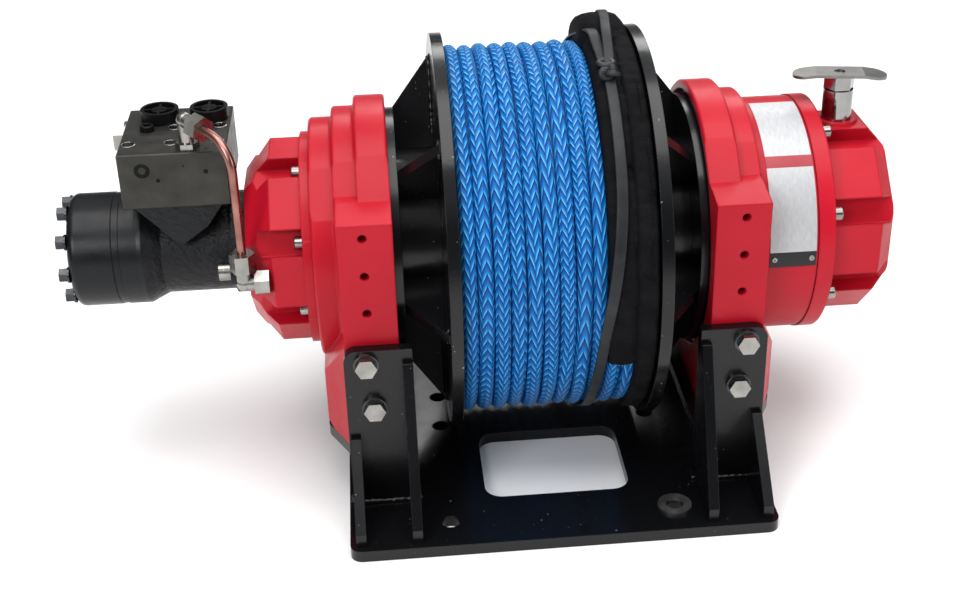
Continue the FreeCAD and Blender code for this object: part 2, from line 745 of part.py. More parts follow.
def cap_screw(name, x, y, z, side, radius):
    """Socket head cap screw with its head pointing away from the drum."""
    outward, inward = (ALONG_X, ALONG_MINUS_X) if side == RIGHT else (ALONG_MINUS_X, ALONG_X)
    head = cylinder(f"{name}_head", d.cap_head_radius, d.cap_head_height, x, y, z, outward)
    shank = cylinder(f"{name}_shank", radius, d.cap_screw_grip, x, y, z, inward)
    return fuse(name, [head, shank])


def screw_bores(name, circle, radius, depth, x, inward, count, first_angle):
    tools = []
    for index in range(count):
        angle = math.radians(first_angle + 360.0 / count * index)
        tools.append(cylinder(f"{name}_{index}", radius, depth, x,
                              circle * math.sin(angle) * -1,
                              d.axis_height + circle * math.cos(angle), inward))
    return tools


bell_start = d.cheek_inside + d.cheek_width + d.step_width + d.collar_width
bell_end = bell_start + d.bell_flange_width + d.bell_lobe_width + d.bell_cone_width
SCREWS_ROUND = 8
HALF_STEP = 22.5
brake_port_height = d.axis_height - 8.0


def make_brake_bell():
    body = make_lobed_casting("brake_bell_casting", d.bell_flange_radius, d.bell_flange_width,
                              d.bell_lobe_width, d.bell_cone_width, d.bell_nose_apothem)
    place(body, x=-bell_start, z=d.axis_height, turn=Rotation(Vector(0, 0, 1), 180))
    screw_face = -(bell_start + d.bell_flange_width)
    bores = screw_bores("bell_bore", d.bell_screw_circle, d.cap_screw_radius + d.screw_clearance,
                        d.bell_flange_width, screw_face, ALONG_X, SCREWS_ROUND, HALF_STEP)
    sub_part(cut("brake_bell", body, bores), "brake_bell")
    screws = ring_of_screws("bell_screws", d.bell_screw_circle, d.cap_screw_radius, screw_face,
                            LEFT, SCREWS_ROUND, HALF_STEP, cap_screw)
    sub_part(screws, "bell_screws")


# ---------------------------------------------------------------- motor

motor_flange_end = bell_end + d.motor_flange_width
neck_end = motor_flange_end + d.neck_width
taper_end = neck_end + d.neck_taper
gear_end = taper_end + d.gear_section_width
spacer_end = gear_end + d.spacer_width
cover_end = spacer_end + d.end_cover_width


def make_motor():
    body = turned("motor_casting", [(0, 0), (-(gear_end - motor_flange_end), 0),
                                    (-(gear_end - motor_flange_end), d.motor_radius),
                                    (-(taper_end - motor_flange_end), d.motor_radius),
                                    (-(neck_end - motor_flange_end), d.neck_radius),
                                    (0, d.neck_radius)],
                  x=-motor_flange_end, z=d.axis_height)
    flange = cylinder("motor_flange_disc", d.neck_radius + 4.0, d.motor_flange_width,
                      -bell_end, 0, d.axis_height, ALONG_MINUS_X)
    ears = [cylinder(f"motor_ear_{name}", d.motor_ear_radius, d.motor_flange_width,
                     -bell_end, end * d.motor_bolt_offset, d.axis_height, ALONG_MINUS_X)
            for name, end in (("front", FRONT), ("rear", REAR))]
    web = box("motor_ear_web", d.motor_flange_width, d.motor_bolt_offset * 2,
              d.motor_ear_radius * 2, -motor_flange_end, -d.motor_bolt_offset,
              d.axis_height - d.motor_ear_radius)
    block_left = -(d.block_inner + d.block_width)
    saddle = extrusion("motor_saddle", "XZ", [
        (block_left + 8.0, d.axis_height + d.block_bottom),
        (block_left + 50.0, d.axis_height + 24.0),
        (block_left + 78.0, d.axis_height + 44.0),
        (-(d.block_inner + 8.0), d.axis_height + d.block_bottom)],
        d.saddle_half_depth, d.saddle_half_depth * 2)
    bores = [cylinder(f"motor_ear_bore_{name}", d.bolt_radius + d.screw_clearance,
                      d.motor_flange_width, -bell_end, end * d.motor_bolt_offset,
                      d.axis_height, ALONG_MINUS_X)
             for name, end in (("front", FRONT), ("rear", REAR))]
    casting = fuse("motor_fused", [body, flange, web, saddle] + ears)
    sub_part(cut("motor_body", casting, bores), "motor_body")

    spacer = cylinder("motor_spacer", d.motor_radius - 0.6, d.spacer_width,
                      -gear_end, 0, d.axis_height, ALONG_MINUS_X)
    sub_part(spacer, "motor_spacer")
    cover = turned("motor_end_cover", [(0, 0), (0, d.motor_radius),
                                       (-d.end_cover_width, d.motor_radius),
                                       (-d.end_cover_width, 0)],
                   x=-spacer_end, z=d.axis_height)
    outer = -d.end_cover_width.number
    round_edges(cover, d.end_cover_round, "motor_cover_edge",
                lambda edge: hasattr(edge.Curve, "Radius")
                and abs(edge.CenterOfMass.x - outer) < 1e-3)
    sub_part(cover, "motor_end_cover")
    bolts = ring_of_screws("motor_end_bolts", d.end_bolt_circle, d.cap_screw_radius,
                           -cover_end, LEFT, int(d.end_bolt_count.number), 15.0, end_bolt)
    sub_part(bolts, "motor_end_bolts")
    screws = [flange_screw(f"motor_screw_{name}", end)
              for name, end in (("front", FRONT), ("rear", REAR))]
    sub_part(compound("motor_flange_screws", screws), "motor_flange_screws")


def end_bolt(name, x, y, z, side, radius):
    """Small hexagon bolt on a washer, standing on the motor's end cover."""
    washer = cylinder(f"{name}_washer", radius * 2, 2.0, x, y, z, ALONG_MINUS_X)
    head = hexagon(f"{name}_head", radius * 1.6, 8.0, x - 2.0, y, z, ALONG_MINUS_X)
    return fuse(name, [washer, head])


def flange_screw(name, end):
    where = (end * d.motor_bolt_offset, d.axis_height)
    head = cylinder(f"{name}_head", d.bolt_radius * 1.5, d.bolt_radius * 2,
                    -motor_flange_end, *where, ALONG_MINUS_X)
    shank = cylinder(f"{name}_shank", d.bolt_radius, d.motor_flange_width,
                     -motor_flange_end, *where, ALONG_X)
    socket = hexagon(f"{name}_socket", d.bolt_radius * 0.8, d.bolt_radius,
                     -(motor_flange_end + d.bolt_radius), *where, ALONG_MINUS_X)
    return cut(name, fuse(f"{name}_blank", [head, shank]), [socket])


# ---------------------------------------------------------------- valve block and pipe

block_left = -(d.block_inner + d.block_width)
block_base = d.axis_height + d.block_bottom
block_top = block_base + d.block_height
elbow_x = block_left + 66.5
elbow_y = -d.block_front + 14.0
elbow_rise = block_top + 27.0
pipe_x = -(bell_end + 1.5)
pipe_y = -97.0
lower_elbow_height = d.axis_height + 1.0
BLOCK_SCREWS = ((8.5, 28.0), (49.0, 28.0), (49.0, 68.0), (93.0, 28.0), (93.0, 68.0))


def make_valve_block():
    block = box("block_blank", d.block_width, d.block_depth, d.block_height,
                block_left, -d.block_front, block_base)
    edges = doc.addObject("Part::Chamfer", "block_chamfered")
    edges.Base = block
    doc.recompute()
    edges.Edges = [(number, 1.0, 1.0) for number in range(1, 13)]
    tools = []
    for index, (along, back) in enumerate(BLOCK_SCREWS):
        tools.append(cylinder(f"block_counterbore_{index}", 5.6, 5.0, block_left + along,
                              -d.block_front + back, block_top - 5.0))
    sub_part(cut("valve_block", edges, tools), "valve_block")
    screws = []
    for index, (along, back) in enumerate(BLOCK_SCREWS):
        where = (block_left + along, -d.block_front + back, block_top - 5.0)
        screws.append(cylinder(f"block_screw_{index}", 5.0, 4.6, *where))
    sub_part(compound("block_screws", screws), "block_screws")
    caps = [port_cap(f"port_cap_{index}", block_left + along)
            for index, along in enumerate((33.3, 81.7))]
    sub_part(compound("port_caps", caps), "port_caps")
    make_block_plugs()


def port_cap(name, x):
    """Moulded cap: a low cup with a cross of four spokes in its top."""
    y = -d.block_front + d.block_depth - 30.0
    disc = cylinder(f"{name}_disc", d.port_cap_radius, d.port_cap_height, x, y, block_top)
    hollow = cylinder(f"{name}_hollow", d.port_cap_radius - 3.5, d.port_cap_height - 6.0,
                      x, y, block_top + 6.0)
    hub = cylinder(f"{name}_hub", d.port_cap_radius * 0.42, d.port_cap_height - 1.0, x, y,
                   block_top)
    spokes = [box(f"{name}_spoke_{index}", d.port_cap_radius * 2 - 4.0, 2.4,
                  d.port_cap_height - 0.6, x - (d.port_cap_radius - 2.0), y - 1.2, block_top)
              for index in range(2)]
    place(spokes[1], x + 1.2, y - (d.port_cap_radius - 2.0), block_top,
          Rotation(Vector(0, 0, 1), 90))
    return fuse(name, [cut(f"{name}_cup", disc, [hollow]), hub] + spokes)


def make_block_plugs():
    front = -d.block_front
    large = cylinder("front_plug", 8.0, 1.6, block_left + 22.6, front, block_base + 39.2,
                     ALONG_MINUS_Y)
    socket = hexagon("front_plug_socket", 3.0, 1.2, block_left + 22.6, front - 0.4,
                     block_base + 39.2, ALONG_MINUS_Y)
    top = cylinder("top_plug", 7.0, 6.0, block_left + 23.2, front + 62.0, block_top)
    top_socket = hexagon("top_plug_socket", 3.0, 4.0, block_left + 23.2, front + 62.0,
                         block_top + 2.0)
    sub_part(compound("block_plugs", [cut("front_plug_cut", large, [socket]),
                                      cut("top_plug_cut", top, [top_socket])]), "block_plugs")
    flange = cylinder("side_plug_flange", 16.0, 3.0, block_left, front + 92.0,
                      block_base + 38.0, ALONG_MINUS_X)
    head = hexagon("side_plug_hexagon", 13.0, 11.0, block_left - 3.0, front + 92.0,
                   block_base + 38.0, ALONG_MINUS_X)
    sub_part(fuse("side_plug", [flange, head]), "side_plug")


def pipe_route():
    """Centre line of the brake pipe, from the upper nut's mouth to the lower nut's."""
    start = upper_nut_mouth()
    bend = Vector(pipe_x.number, pipe_y, start.z - 5.0)
    end = Vector(pipe_x.number, pipe_y, lower_elbow_height.number + 30.0)
    return [start, bend, end]


def outlet_direction():
    """Level direction from the upper elbow to the pipe's upright run."""
    way = Vector(pipe_x.number - elbow_x.number, pipe_y - elbow_y.number, -5.0)
    return way.normalize()


def upper_nut_mouth():
    centre = Vector(elbow_x.number, elbow_y.number, elbow_rise.number)
    return centre + outlet_direction() * 26.0


def rounded_path(points, radius):
    """Straight runs joined by tangent arcs of one radius."""
    edges = []
    here = points[0]
    for before, corner, after in zip(points, points[1:], points[2:]):
        inward = (corner - before).normalize()
        outward = (after - corner).normalize()
        half_turn = inward.getAngle(outward) / 2
        setback = radius * math.tan(half_turn)
        enter = corner - inward * setback
        leave = corner + outward * setback
        bisector = (outward - inward).normalize()
        centre = corner + bisector * (radius / math.cos(half_turn))
        middle = centre - bisector * radius
        edges.append(Part.LineSegment(here, enter).toShape())
        edges.append(Part.Arc(enter, middle, leave).toShape())
        here = leave
    edges.append(Part.LineSegment(here, points[-1]).toShape())
    return Part.Wire(edges)


def make_pipe():
    points = pipe_route()
    path = rounded_path(points, 32.0)
    heading = (points[1] - points[0]).normalize()
    outside = Part.Wire(Part.makeCircle(d.pipe_radius.number, points[0], heading))
    inside = Part.Wire(Part.makeCircle(d.pipe_radius.number - d.pipe_wall.number, points[0],
                                       heading))
    tube = path.makePipeShell([outside], True, False)
    bore = path.makePipeShell([inside], True, False)
    thing = doc.addObject("Part::Feature", "brake_pipe")
    thing.Shape = tube.cut(bore)
    thing.Placement = Placement()
    sub_part(thing, "brake_pipe")

    way = outlet_direction()
    across = Rotation(Vector(0, 0, 1), way)
    stem = cylinder("upper_stem", 7.4, elbow_rise - (block_top + 6.0), elbow_x, elbow_y,
                    block_top + 6.0)
    seat = hexagon("upper_seat", 10.0, 6.0, elbow_x, elbow_y, block_top)
    ball = doc.addObject("Part::Sphere", "upper_knee")
    ball.Radius = 8.0
    place(ball, elbow_x, elbow_y, elbow_rise)
    branch = cylinder("upper_branch", 7.4, 14.0, elbow_x, elbow_y, elbow_rise, across)
    sub_part(fuse("upper_elbow", [seat, stem, ball, branch]), "upper_elbow")

    def pipe_nut(name, at, turn, length):
        nut = hexagon(f"{name}_blank", d.nut_flats, length, at.x, at.y, at.z, turn)
        back = at - turn.multVec(Vector(0, 0, 20.0))
        bore_tool = cylinder(f"{name}_bore", d.pipe_radius + d.screw_clearance, 60.0,
                             back.x, back.y, back.z, turn)
        return cut(name, nut, [bore_tool])

    centre = Vector(elbow_x.number, elbow_y.number, elbow_rise.number)
    low = Vector(pipe_x.number, pipe_y, lower_elbow_height.number)
    nuts = [pipe_nut("upper_nut", centre + way * 14.0, across, 15.0),
            pipe_nut("lower_nut", low + Vector(0, 0, 14.0), Rotation(), 18.0)]
    sub_part(compound("pipe_nuts", nuts), "pipe_nuts")

    knee = doc.addObject("Part::Sphere", "lower_knee")
    knee.Radius = 8.0
    place(knee, pipe_x, pipe_y, lower_elbow_height)
    riser = cylinder("lower_riser", 7.4, 14.0, pipe_x, pipe_y, lower_elbow_height)
    inlet = cylinder("lower_inlet", 7.4, 12.0, pipe_x, pipe_y, lower_elbow_height, ALONG_X)
    seat_nut = hexagon("lower_seat", d.nut_flats, 14.0, pipe_x + 10.0, pipe_y,
                       lower_elbow_height, ALONG_X)
    blank = fuse("lower_elbow_blank", [knee, riser, inlet, seat_nut])
    sub_part(cut("lower_elbow", blank, [doc.getObject("brake_bell")]), "lower_elbow")


# ---------------------------------------------------------------- clutch end

case_start = d.cheek_inside + d.cheek_width + d.step_width
case_end = case_start + d.gear_case_width
cover_face = case_end + d.seam_gap
HANDLE_TURN = -10.0
boss_height = d.axis_height + d.boss_top
seat_height = boss_height - d.collar_seat_depth
collar_top = d.axis_height + d.collar_tube_top
hex_base = collar_top + d.handle_gap
handle_base = hex_base + d.clutch_hex_height


def make_gear_case():
    sub_part(cylinder("gear_case", d.gear_case_radius, d.gear_case_width, case_start, 0,
                      d.axis_height, ALONG_X), "gear_case")


def make_clutch_cover():
    body = make_lobed_casting("clutch_cover_casting", d.cover_flange_radius,
                              d.cover_flange_width, d.cover_lobe_width, d.cover_cone_width,
                              d.cover_nose_apothem)
    place(body, x=cover_face, z=d.axis_height)
    boss = cylinder("clutch_boss", d.boss_radius, d.boss_top, d.clutch_offset, 0, d.axis_height)
    screw_face = cover_face + d.cover_flange_width
    tools = screw_bores("cover_bore", d.cover_screw_circle, d.cap_screw_radius + d.screw_clearance,
                        d.cap_screw_grip + d.running_gap, screw_face, ALONG_MINUS_X,
                        SCREWS_ROUND, HALF_STEP)
    tools.append(cylinder("collar_seat", d.collar_tube_radius + d.screw_clearance,
                          collar_top - seat_height, d.clutch_offset, 0, seat_height))
    tools.append(cylinder("plunger_bore", d.plunger_radius + d.plunger_clearance, 40.0,
                          d.clutch_offset, 0, seat_height - 40.0))
    sub_part(cut("clutch_cover", fuse("clutch_cover_blank", [body, boss]), tools),
             "clutch_cover")
    screws = ring_of_screws("cover_screws", d.cover_screw_circle, d.cap_screw_radius,
                            screw_face, RIGHT, SCREWS_ROUND, HALF_STEP, cap_screw)
    sub_part(screws, "cover_screws")


def make_rating_plate():
    """Bare sheet-metal plate bent round the front of the gear case."""
    start = case_end - d.plate_width - d.plate_margin
    inner = cylinder("plate_inner", d.gear_case_radius, d.plate_width, start, 0,
                     d.axis_height, ALONG_X)
    outer = cylinder("plate_outer", d.gear_case_radius + d.plate_gauge, d.plate_width, start, 0,
                     d.axis_height, ALONG_X)
    band = extrusion("plate_sector", "YZ", [
        (0, d.axis_height), (0, d.axis_height + d.gear_case_radius * 1.1),
        (d.gear_case_radius * -1.1, d.axis_height + d.gear_case_radius * 1.1),
        (d.gear_case_radius * -1.1, d.axis_height - d.gear_case_radius * 0.03)],
        start, d.plate_width)
    sheet = common("plate_band", [cut("plate_ring", outer, [inner]), band])
    sub_part(sheet, "rating_plate")


def make_clutch():
    collar = cylinder("collar_blank", d.collar_tube_radius, collar_top - seat_height,
                      d.clutch_offset, 0, seat_height)
    bore = cylinder("collar_bore", d.plunger_radius + d.plunger_clearance,
                    collar_top - seat_height, d.clutch_offset, 0, seat_height)
    sub_part(cut("clutch_collar", collar, [bore]), "clutch_collar")
    plunger_base = seat_height - 34.0
    sub_part(cylinder("clutch_plunger", d.plunger_radius, hex_base - plunger_base,
                      d.clutch_offset, 0, plunger_base), "clutch_plunger")
    sub_part(hexagon("clutch_hexagon", d.clutch_hex_flats, d.clutch_hex_height,
                     d.clutch_offset, 0, hex_base), "clutch_hexagon")
    make_handle()


def make_handle():
    """Flat bar with rounded ends, bent down slightly, and a screw hole in its middle."""
    length, width, gauge = d.handle_length, d.handle_width, d.handle_thickness
    droop = d.handle_droop
    side_view = extrusion("handle_side_view", "XZ", [
        (length / -2, 0 - droop), (length / -4, 0), (length / 4, 0), (length / 2, 0 - droop),
        (length / 2, gauge - droop), (length / 4, gauge), (length / -4, gauge),
        (length / -2, gauge - droop)], width / 2, width)
    low = droop * -2
    tall = gauge + droop * 4
    plan = fuse("handle_plan", [
        box("handle_plan_middle", length - width, width, tall, (length - width) / -2,
            width / -2, low),
        cylinder("handle_plan_left", width / 2, tall, (length - width) / -2, 0, low),
        cylinder("handle_plan_right", width / 2, tall, (length - width) / 2, 0, low)])
    bar = common("handle_bar", [side_view, plan])
    hole = cylinder("handle_hole", d.handle_hole_radius, gauge - 1.0, 0, 0, 1.0)
    handle = cut("clutch_handle", bar, [hole])
    place(handle, d.clutch_offset, 0, handle_base, Rotation(Vector(0, 0, 1), HANDLE_TURN))
    sub_part(handle, "clutch_handle")


# ---------------------------------------------------------------- drum and rope

flange_outside = d.drum_inside / 2 + d.flange_thickness


def make_drum():
    sub_part(cylinder("drum_barrel", d.barrel_radius, d.drum_inside, -d.drum_inside / 2, 0,
                      d.axis_height, ALONG_X), "drum_barrel")
    for side, name in ((LEFT, "left"), (RIGHT, "right")):
        outward = ALONG_X if side == RIGHT else ALONG_MINUS_X
        flange = cylinder(f"{name}_flange", d.flange_radius, d.flange_thickness,
                          side * d.drum_inside / 2, 0, d.axis_height, outward)
        sub_part(flange, f"{name}_flange")
        make_hub(side, name)


def make_hub(side, name):
    """Hub: a tube, an end disc with its journal, and tapering ribs welded between them."""
    disc_start = d.hub_disc_face - d.hub_disc_thickness
    outward = ALONG_X if side == RIGHT else ALONG_MINUS_X
    tube = cylinder(f"{name}_hub_tube", d.hub_tube_radius, disc_start - flange_outside,
                    side * flange_outside, 0, d.axis_height, outward)
    sub_part(tube, f"{name}_hub_tube")
    disc = turned(f"{name}_end_disc", [(side * x, radius) for x, radius in (
        (disc_start, 0), (disc_start, d.hub_disc_radius),
        (d.hub_disc_face, d.hub_disc_radius), (d.hub_disc_face, d.journal_radius),
        (d.hub_disc_face + d.journal_length, d.journal_radius),
        (d.hub_disc_face + d.journal_length, 0))], z=d.axis_height)
    sub_part(disc, f"{name}_end_disc")
    ribs = []
    for index in range(int(d.rib_count.number)):
        rib = extrusion(f"{name}_rib_{index}", "XY",
                        [(side * flange_outside, d.hub_tube_radius),
                         (side * flange_outside, d.rib_root),
                         (side * disc_start, d.hub_disc_radius),
                         (side * disc_start, d.hub_tube_radius)],
                        d.rib_thickness * -0.5, d.rib_thickness)
        turned_rib = compound(f"{name}_rib_{index}_placed", [rib])
        angle = 90.0 + d.rib_first_angle.number + 360.0 / d.rib_count.number * index
        place(turned_rib, z=d.axis_height, turn=Rotation(Vector(1, 0, 0), angle))
        ribs.append(turned_rib)
    sub_part(compound(f"{name}_ribs", ribs), f"{name}_ribs")


def make_rope():
    """The wound rope as one closed solid: open turns, then a lower layer under the sleeve."""
    axis = Vector(0, 0, d.axis_height.number)
    inner = d.barrel_radius.number + d.soft_clearance.number
    half = d.drum_inside.number / 2 - d.soft_clearance.number
    pitch = d.rope_diameter.number
    crown = d.rope_top.number
    valley = crown - pitch * 0.3
    low = crown - pitch
    turns = int(d.rope_turns.number)
    start = -half
    step = start + pitch * turns
    outline = [(start, inner), (start, valley)]
    for index in range(turns):
        left = start + pitch * index
        outline += [(left + pitch * 0.28, crown), (left + pitch * 0.72, crown),
                    (left + pitch, valley)]
    outline += [(step, low), (half, low), (half, inner), (start, inner)]
    edges = Part.makePolygon([Vector(along, 0, radius) for along, radius in outline])
    profile = Part.Face(edges)
    profile.translate(axis)
    thing = doc.addObject("Part::Feature", "rope_pack")
    thing.Shape = profile.revolve(axis, Vector(1, 0, 0), 360)
    thing.Placement = Placement()
    sub_part(thing, "rope_pack")


def arc_band(name, x_from, x_to, r_from, r_to, angle_from, angle_to):
    """A block bent round the drum axis; angles from the top, towards the front."""
    thing = doc.addObject("Part::Feature", name)
    axis = Vector(0, 0, d.axis_height.number)
    corners = [Vector(x, 0, r) for x, r in ((x_from, r_from), (x_to, r_from), (x_to, r_to),
                                            (x_from, r_to), (x_from, r_from))]
    face = Part.Face(Part.makePolygon(corners))
    face.translate(axis)
    face.rotate(axis, Vector(1, 0, 0), angle_from)
    thing.Shape = face.revolve(axis, Vector(1, 0, 0), angle_to - angle_from)
    thing.Placement = Placement()
    return thing


def make_soft_parts():
    half = d.drum_inside.number / 2 - d.soft_clearance.number
    gap = d.soft_clearance.number
    step = -half + d.rope_diameter.number * d.rope_turns.number
    low = d.rope_top.number - d.rope_diameter.number
    run = arc_band("sleeve_run", step + gap, half, low + gap, d.sleeve_top.number, -45.0, 122.0)
    fold = arc_band("sleeve_fold", step - 8.0, half, d.rope_top.number + gap,
                    d.sleeve_bulge_top.number, -40.0, -6.0)
    sub_part(fuse("rope_sleeve", [run, fold]), "rope_sleeve")
    strap = arc_band("tie_strap", step - d.strap_width.number - 1.0, step - 1.0,
                     d.rope_top.number + gap, d.rope_top.number + gap + d.strap_thickness.number,
                     0.0, 140.0)
    sub_part(strap, "tie_strap")


# ---------------------------------------------------------------- the whole winch

make_base_plate()
for side_name, side in (("left", LEFT), ("right", RIGHT)):
    for end_name, end in (("front", FRONT), ("rear", REAR)):
        make_upright(side, end, f"{end_name}_{side_name}_upright")
    make_gussets(side, f"{side_name}_gussets")
    make_shelf(side, f"{side_name}_shelf")
make_base_washer()

common_rings = [(d.cheek_width, d.cheek_radius), (d.step_width, d.step_radius)]
make_housing(LEFT, "left_housing", common_rings + [(d.collar_width, d.collar_radius)])
make_housing(RIGHT, "right_housing", common_rings)
make_bracket_bolts(LEFT, "left_bracket_bolts")
make_bracket_bolts(RIGHT, "right_bracket_bolts")
make_brake_bell()
make_motor()
make_valve_block()
make_pipe()
make_gear_case()
make_clutch_cover()
make_rating_plate()
make_clutch()
make_drum()
make_rope()
make_soft_parts()

doc.recompute()
for thing in doc.Objects:
    if "Invalid" in thing.State or "Error" in thing.State:
        raise RuntimeError(f"{thing.Name} failed: {thing.State}")
os.makedirs("parts", exist_ok=True)
for thing in sub_parts:
    shape = thing.Shape
    if shape.isNull() or not shape.isValid() or shape.Volume <= 0:
        raise RuntimeError(f"{thing.Label} has no valid shape")
    shape.exportStep(f"parts/{thing.Label}.step")
print(len(sub_parts), "sub-parts written")
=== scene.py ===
import bpy, bmesh, json, math, random
from mathutils import Matrix, Vector, noise


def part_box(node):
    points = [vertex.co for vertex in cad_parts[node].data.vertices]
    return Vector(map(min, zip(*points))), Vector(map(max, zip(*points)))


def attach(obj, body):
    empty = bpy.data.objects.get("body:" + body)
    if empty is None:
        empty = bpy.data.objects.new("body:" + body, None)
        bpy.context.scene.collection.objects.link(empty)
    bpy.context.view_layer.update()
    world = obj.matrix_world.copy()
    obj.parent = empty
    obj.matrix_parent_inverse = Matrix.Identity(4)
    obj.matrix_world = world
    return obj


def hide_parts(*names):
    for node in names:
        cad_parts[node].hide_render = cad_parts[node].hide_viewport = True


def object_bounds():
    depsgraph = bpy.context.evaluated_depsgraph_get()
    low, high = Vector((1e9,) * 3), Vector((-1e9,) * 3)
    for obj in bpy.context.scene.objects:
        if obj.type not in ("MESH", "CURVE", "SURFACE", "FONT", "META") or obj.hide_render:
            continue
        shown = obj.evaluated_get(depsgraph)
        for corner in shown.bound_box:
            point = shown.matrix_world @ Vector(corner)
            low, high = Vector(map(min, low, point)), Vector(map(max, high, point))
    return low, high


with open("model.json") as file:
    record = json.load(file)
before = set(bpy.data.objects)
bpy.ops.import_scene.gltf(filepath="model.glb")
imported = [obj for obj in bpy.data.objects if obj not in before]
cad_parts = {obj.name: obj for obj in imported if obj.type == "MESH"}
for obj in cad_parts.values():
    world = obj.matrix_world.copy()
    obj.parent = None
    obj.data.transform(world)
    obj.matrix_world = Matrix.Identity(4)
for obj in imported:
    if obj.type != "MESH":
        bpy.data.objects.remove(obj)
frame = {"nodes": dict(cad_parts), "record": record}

# Lengths are in metres and angles in degrees, unless a comment says otherwise.
CAD_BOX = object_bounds()
random.seed(7)
scene = bpy.context.scene
AXIS = frame["record"]["behaviour"]["joints"][0]["pos_m"][2]    # drum axis above the ground
UP, FRONT = Vector((0, 0, 1)), Vector((0, -1, 0))


# ------------------------------------------------------------------ camera
# Solved from the photo. The first three values are in pixels.
PHOTO = (961, 608)
FOCAL = 1503.906
OPTICAL_CENTRE = (513.89, 319.63)
CAMERA_PLACE = (-0.15735, -1.40357, 0.90526)
CAMERA_TURN = (29.0672, 5.2925, -0.9106)                        # down, to the right, roll
SENSOR = 36.0                                                   # millimetres


def camera():
    width, height = PHOTO
    cam = bpy.data.cameras.new("camera")
    cam.sensor_width = SENSOR
    cam.lens = FOCAL * SENSOR / width
    cam.shift_x = -(OPTICAL_CENTRE[0] - width / 2) / width
    cam.shift_y = (OPTICAL_CENTRE[1] - height / 2) / width
    cam.clip_start, cam.clip_end = 0.05, 50.0
    pitch, yaw, roll = (math.radians(a) for a in CAMERA_TURN)
    forward = Vector((math.sin(yaw) * math.cos(pitch), math.cos(yaw) * math.cos(pitch),
                      -math.sin(pitch)))
    level = Vector((math.cos(yaw), -math.sin(yaw), 0.0))
    upright = level.cross(forward)
    right = level * math.cos(roll) + upright * math.sin(roll)
    up = upright * math.cos(roll) - level * math.sin(roll)
    place = Matrix((right, up, -forward)).transposed().to_4x4()
    place.translation = Vector(CAMERA_PLACE)
    obj = bpy.data.objects.new("camera", cam)
    obj.matrix_world = place
    scene.collection.objects.link(obj)
    scene.camera = obj


# ------------------------------------------------------------------ stage
FLOOR_SIZE, FLOOR_TONE, FLOOR_ROUGHNESS = 40, 0.93, 0.85

# name, place, point it looks at, size, watts, colour
LIGHTS = (
    ("top", (0.0, -0.3, 2.6), (0, 0, 0.2), (2.6, 2.0), 66, (1.0, 0.99, 0.98)),
    ("key", (-1.5, -2.2, 1.7), (0, 0, 0.2), (1.0, 0.9), 36, (1, 1, 1)),
    ("fill", (2.2, -1.5, 1.1), (0, 0, 0.2), (0.9, 1.1), 16, (0.94, 0.97, 1.0)),
    ("back", (0.5, 2.4, 2.0), (0, 0, 0.3), (1.8, 0.8), 22, (1, 1, 1)),
)

# height in the sky (0 straight down, 1 straight up) and brightness there
SKY = ((0.0, 0.16), (0.45, 0.10), (0.62, 0.55), (0.9, 0.95))
SKY_TINT, SKY_STRENGTH = (0.97, 0.985, 1.0), 0.85


def light(name, where, look, size, energy, colour):
    data = bpy.data.lights.new(name, "AREA")
    data.shape = "RECTANGLE"
    data.size, data.size_y = size
    data.energy = energy
    data.color = colour
    obj = bpy.data.objects.new(name, data)
    obj.location = where
    obj.rotation_euler = (Vector(look) - Vector(where)).to_track_quat("-Z", "Y").to_euler()
    scene.collection.objects.link(obj)


def sky():
    """Bright overhead and dim towards the horizon, so that gloss and chrome show contrast."""
    world = bpy.data.worlds.new("studio")
    scene.world = world
    world.use_nodes = True
    tree = world.node_tree
    coords = tree.nodes.new("ShaderNodeTexCoord")
    split = tree.nodes.new("ShaderNodeSeparateXYZ")
    ramp = tree.nodes.new("ShaderNodeValToRGB")
    tree.links.new(coords.outputs["Generated"], split.inputs[0])
    tree.links.new(split.outputs["Z"], ramp.inputs[0])
    set_stops(ramp.color_ramp, [(at, [value * tint for tint in SKY_TINT]) for at, value in SKY])
    background = tree.nodes["Background"]
    tree.links.new(ramp.outputs[0], background.inputs[0])
    background.inputs[1].default_value = SKY_STRENGTH


def stage():
    bpy.ops.mesh.primitive_plane_add(size=FLOOR_SIZE, location=(0, 0, CAD_BOX[0][2]))
    floor = bpy.context.object
    floor.name = "floor"
    mat = bpy.data.materials.new("floor")
    mat.use_nodes = True
    shader = mat.node_tree.nodes["Principled BSDF"]
    shader.inputs["Base Color"].default_value = (FLOOR_TONE, FLOOR_TONE, FLOOR_TONE, 1)
    shader.inputs["Roughness"].default_value = FLOOR_ROUGHNESS
    floor.data.materials.append(mat)
    sky()
    for row in LIGHTS:
        light(*row)
    scene.view_settings.view_transform = "Standard"


# ------------------------------------------------------------------ materials
def set_stops(ramp, stops):
    """Fill a colour ramp from (place, colour) pairs."""
    while len(ramp.elements) < len(stops):
        ramp.elements.new(0.5)
    for element, (at, colour) in zip(ramp.elements, stops):
        element.position = at
        element.color = (*colour, 1)


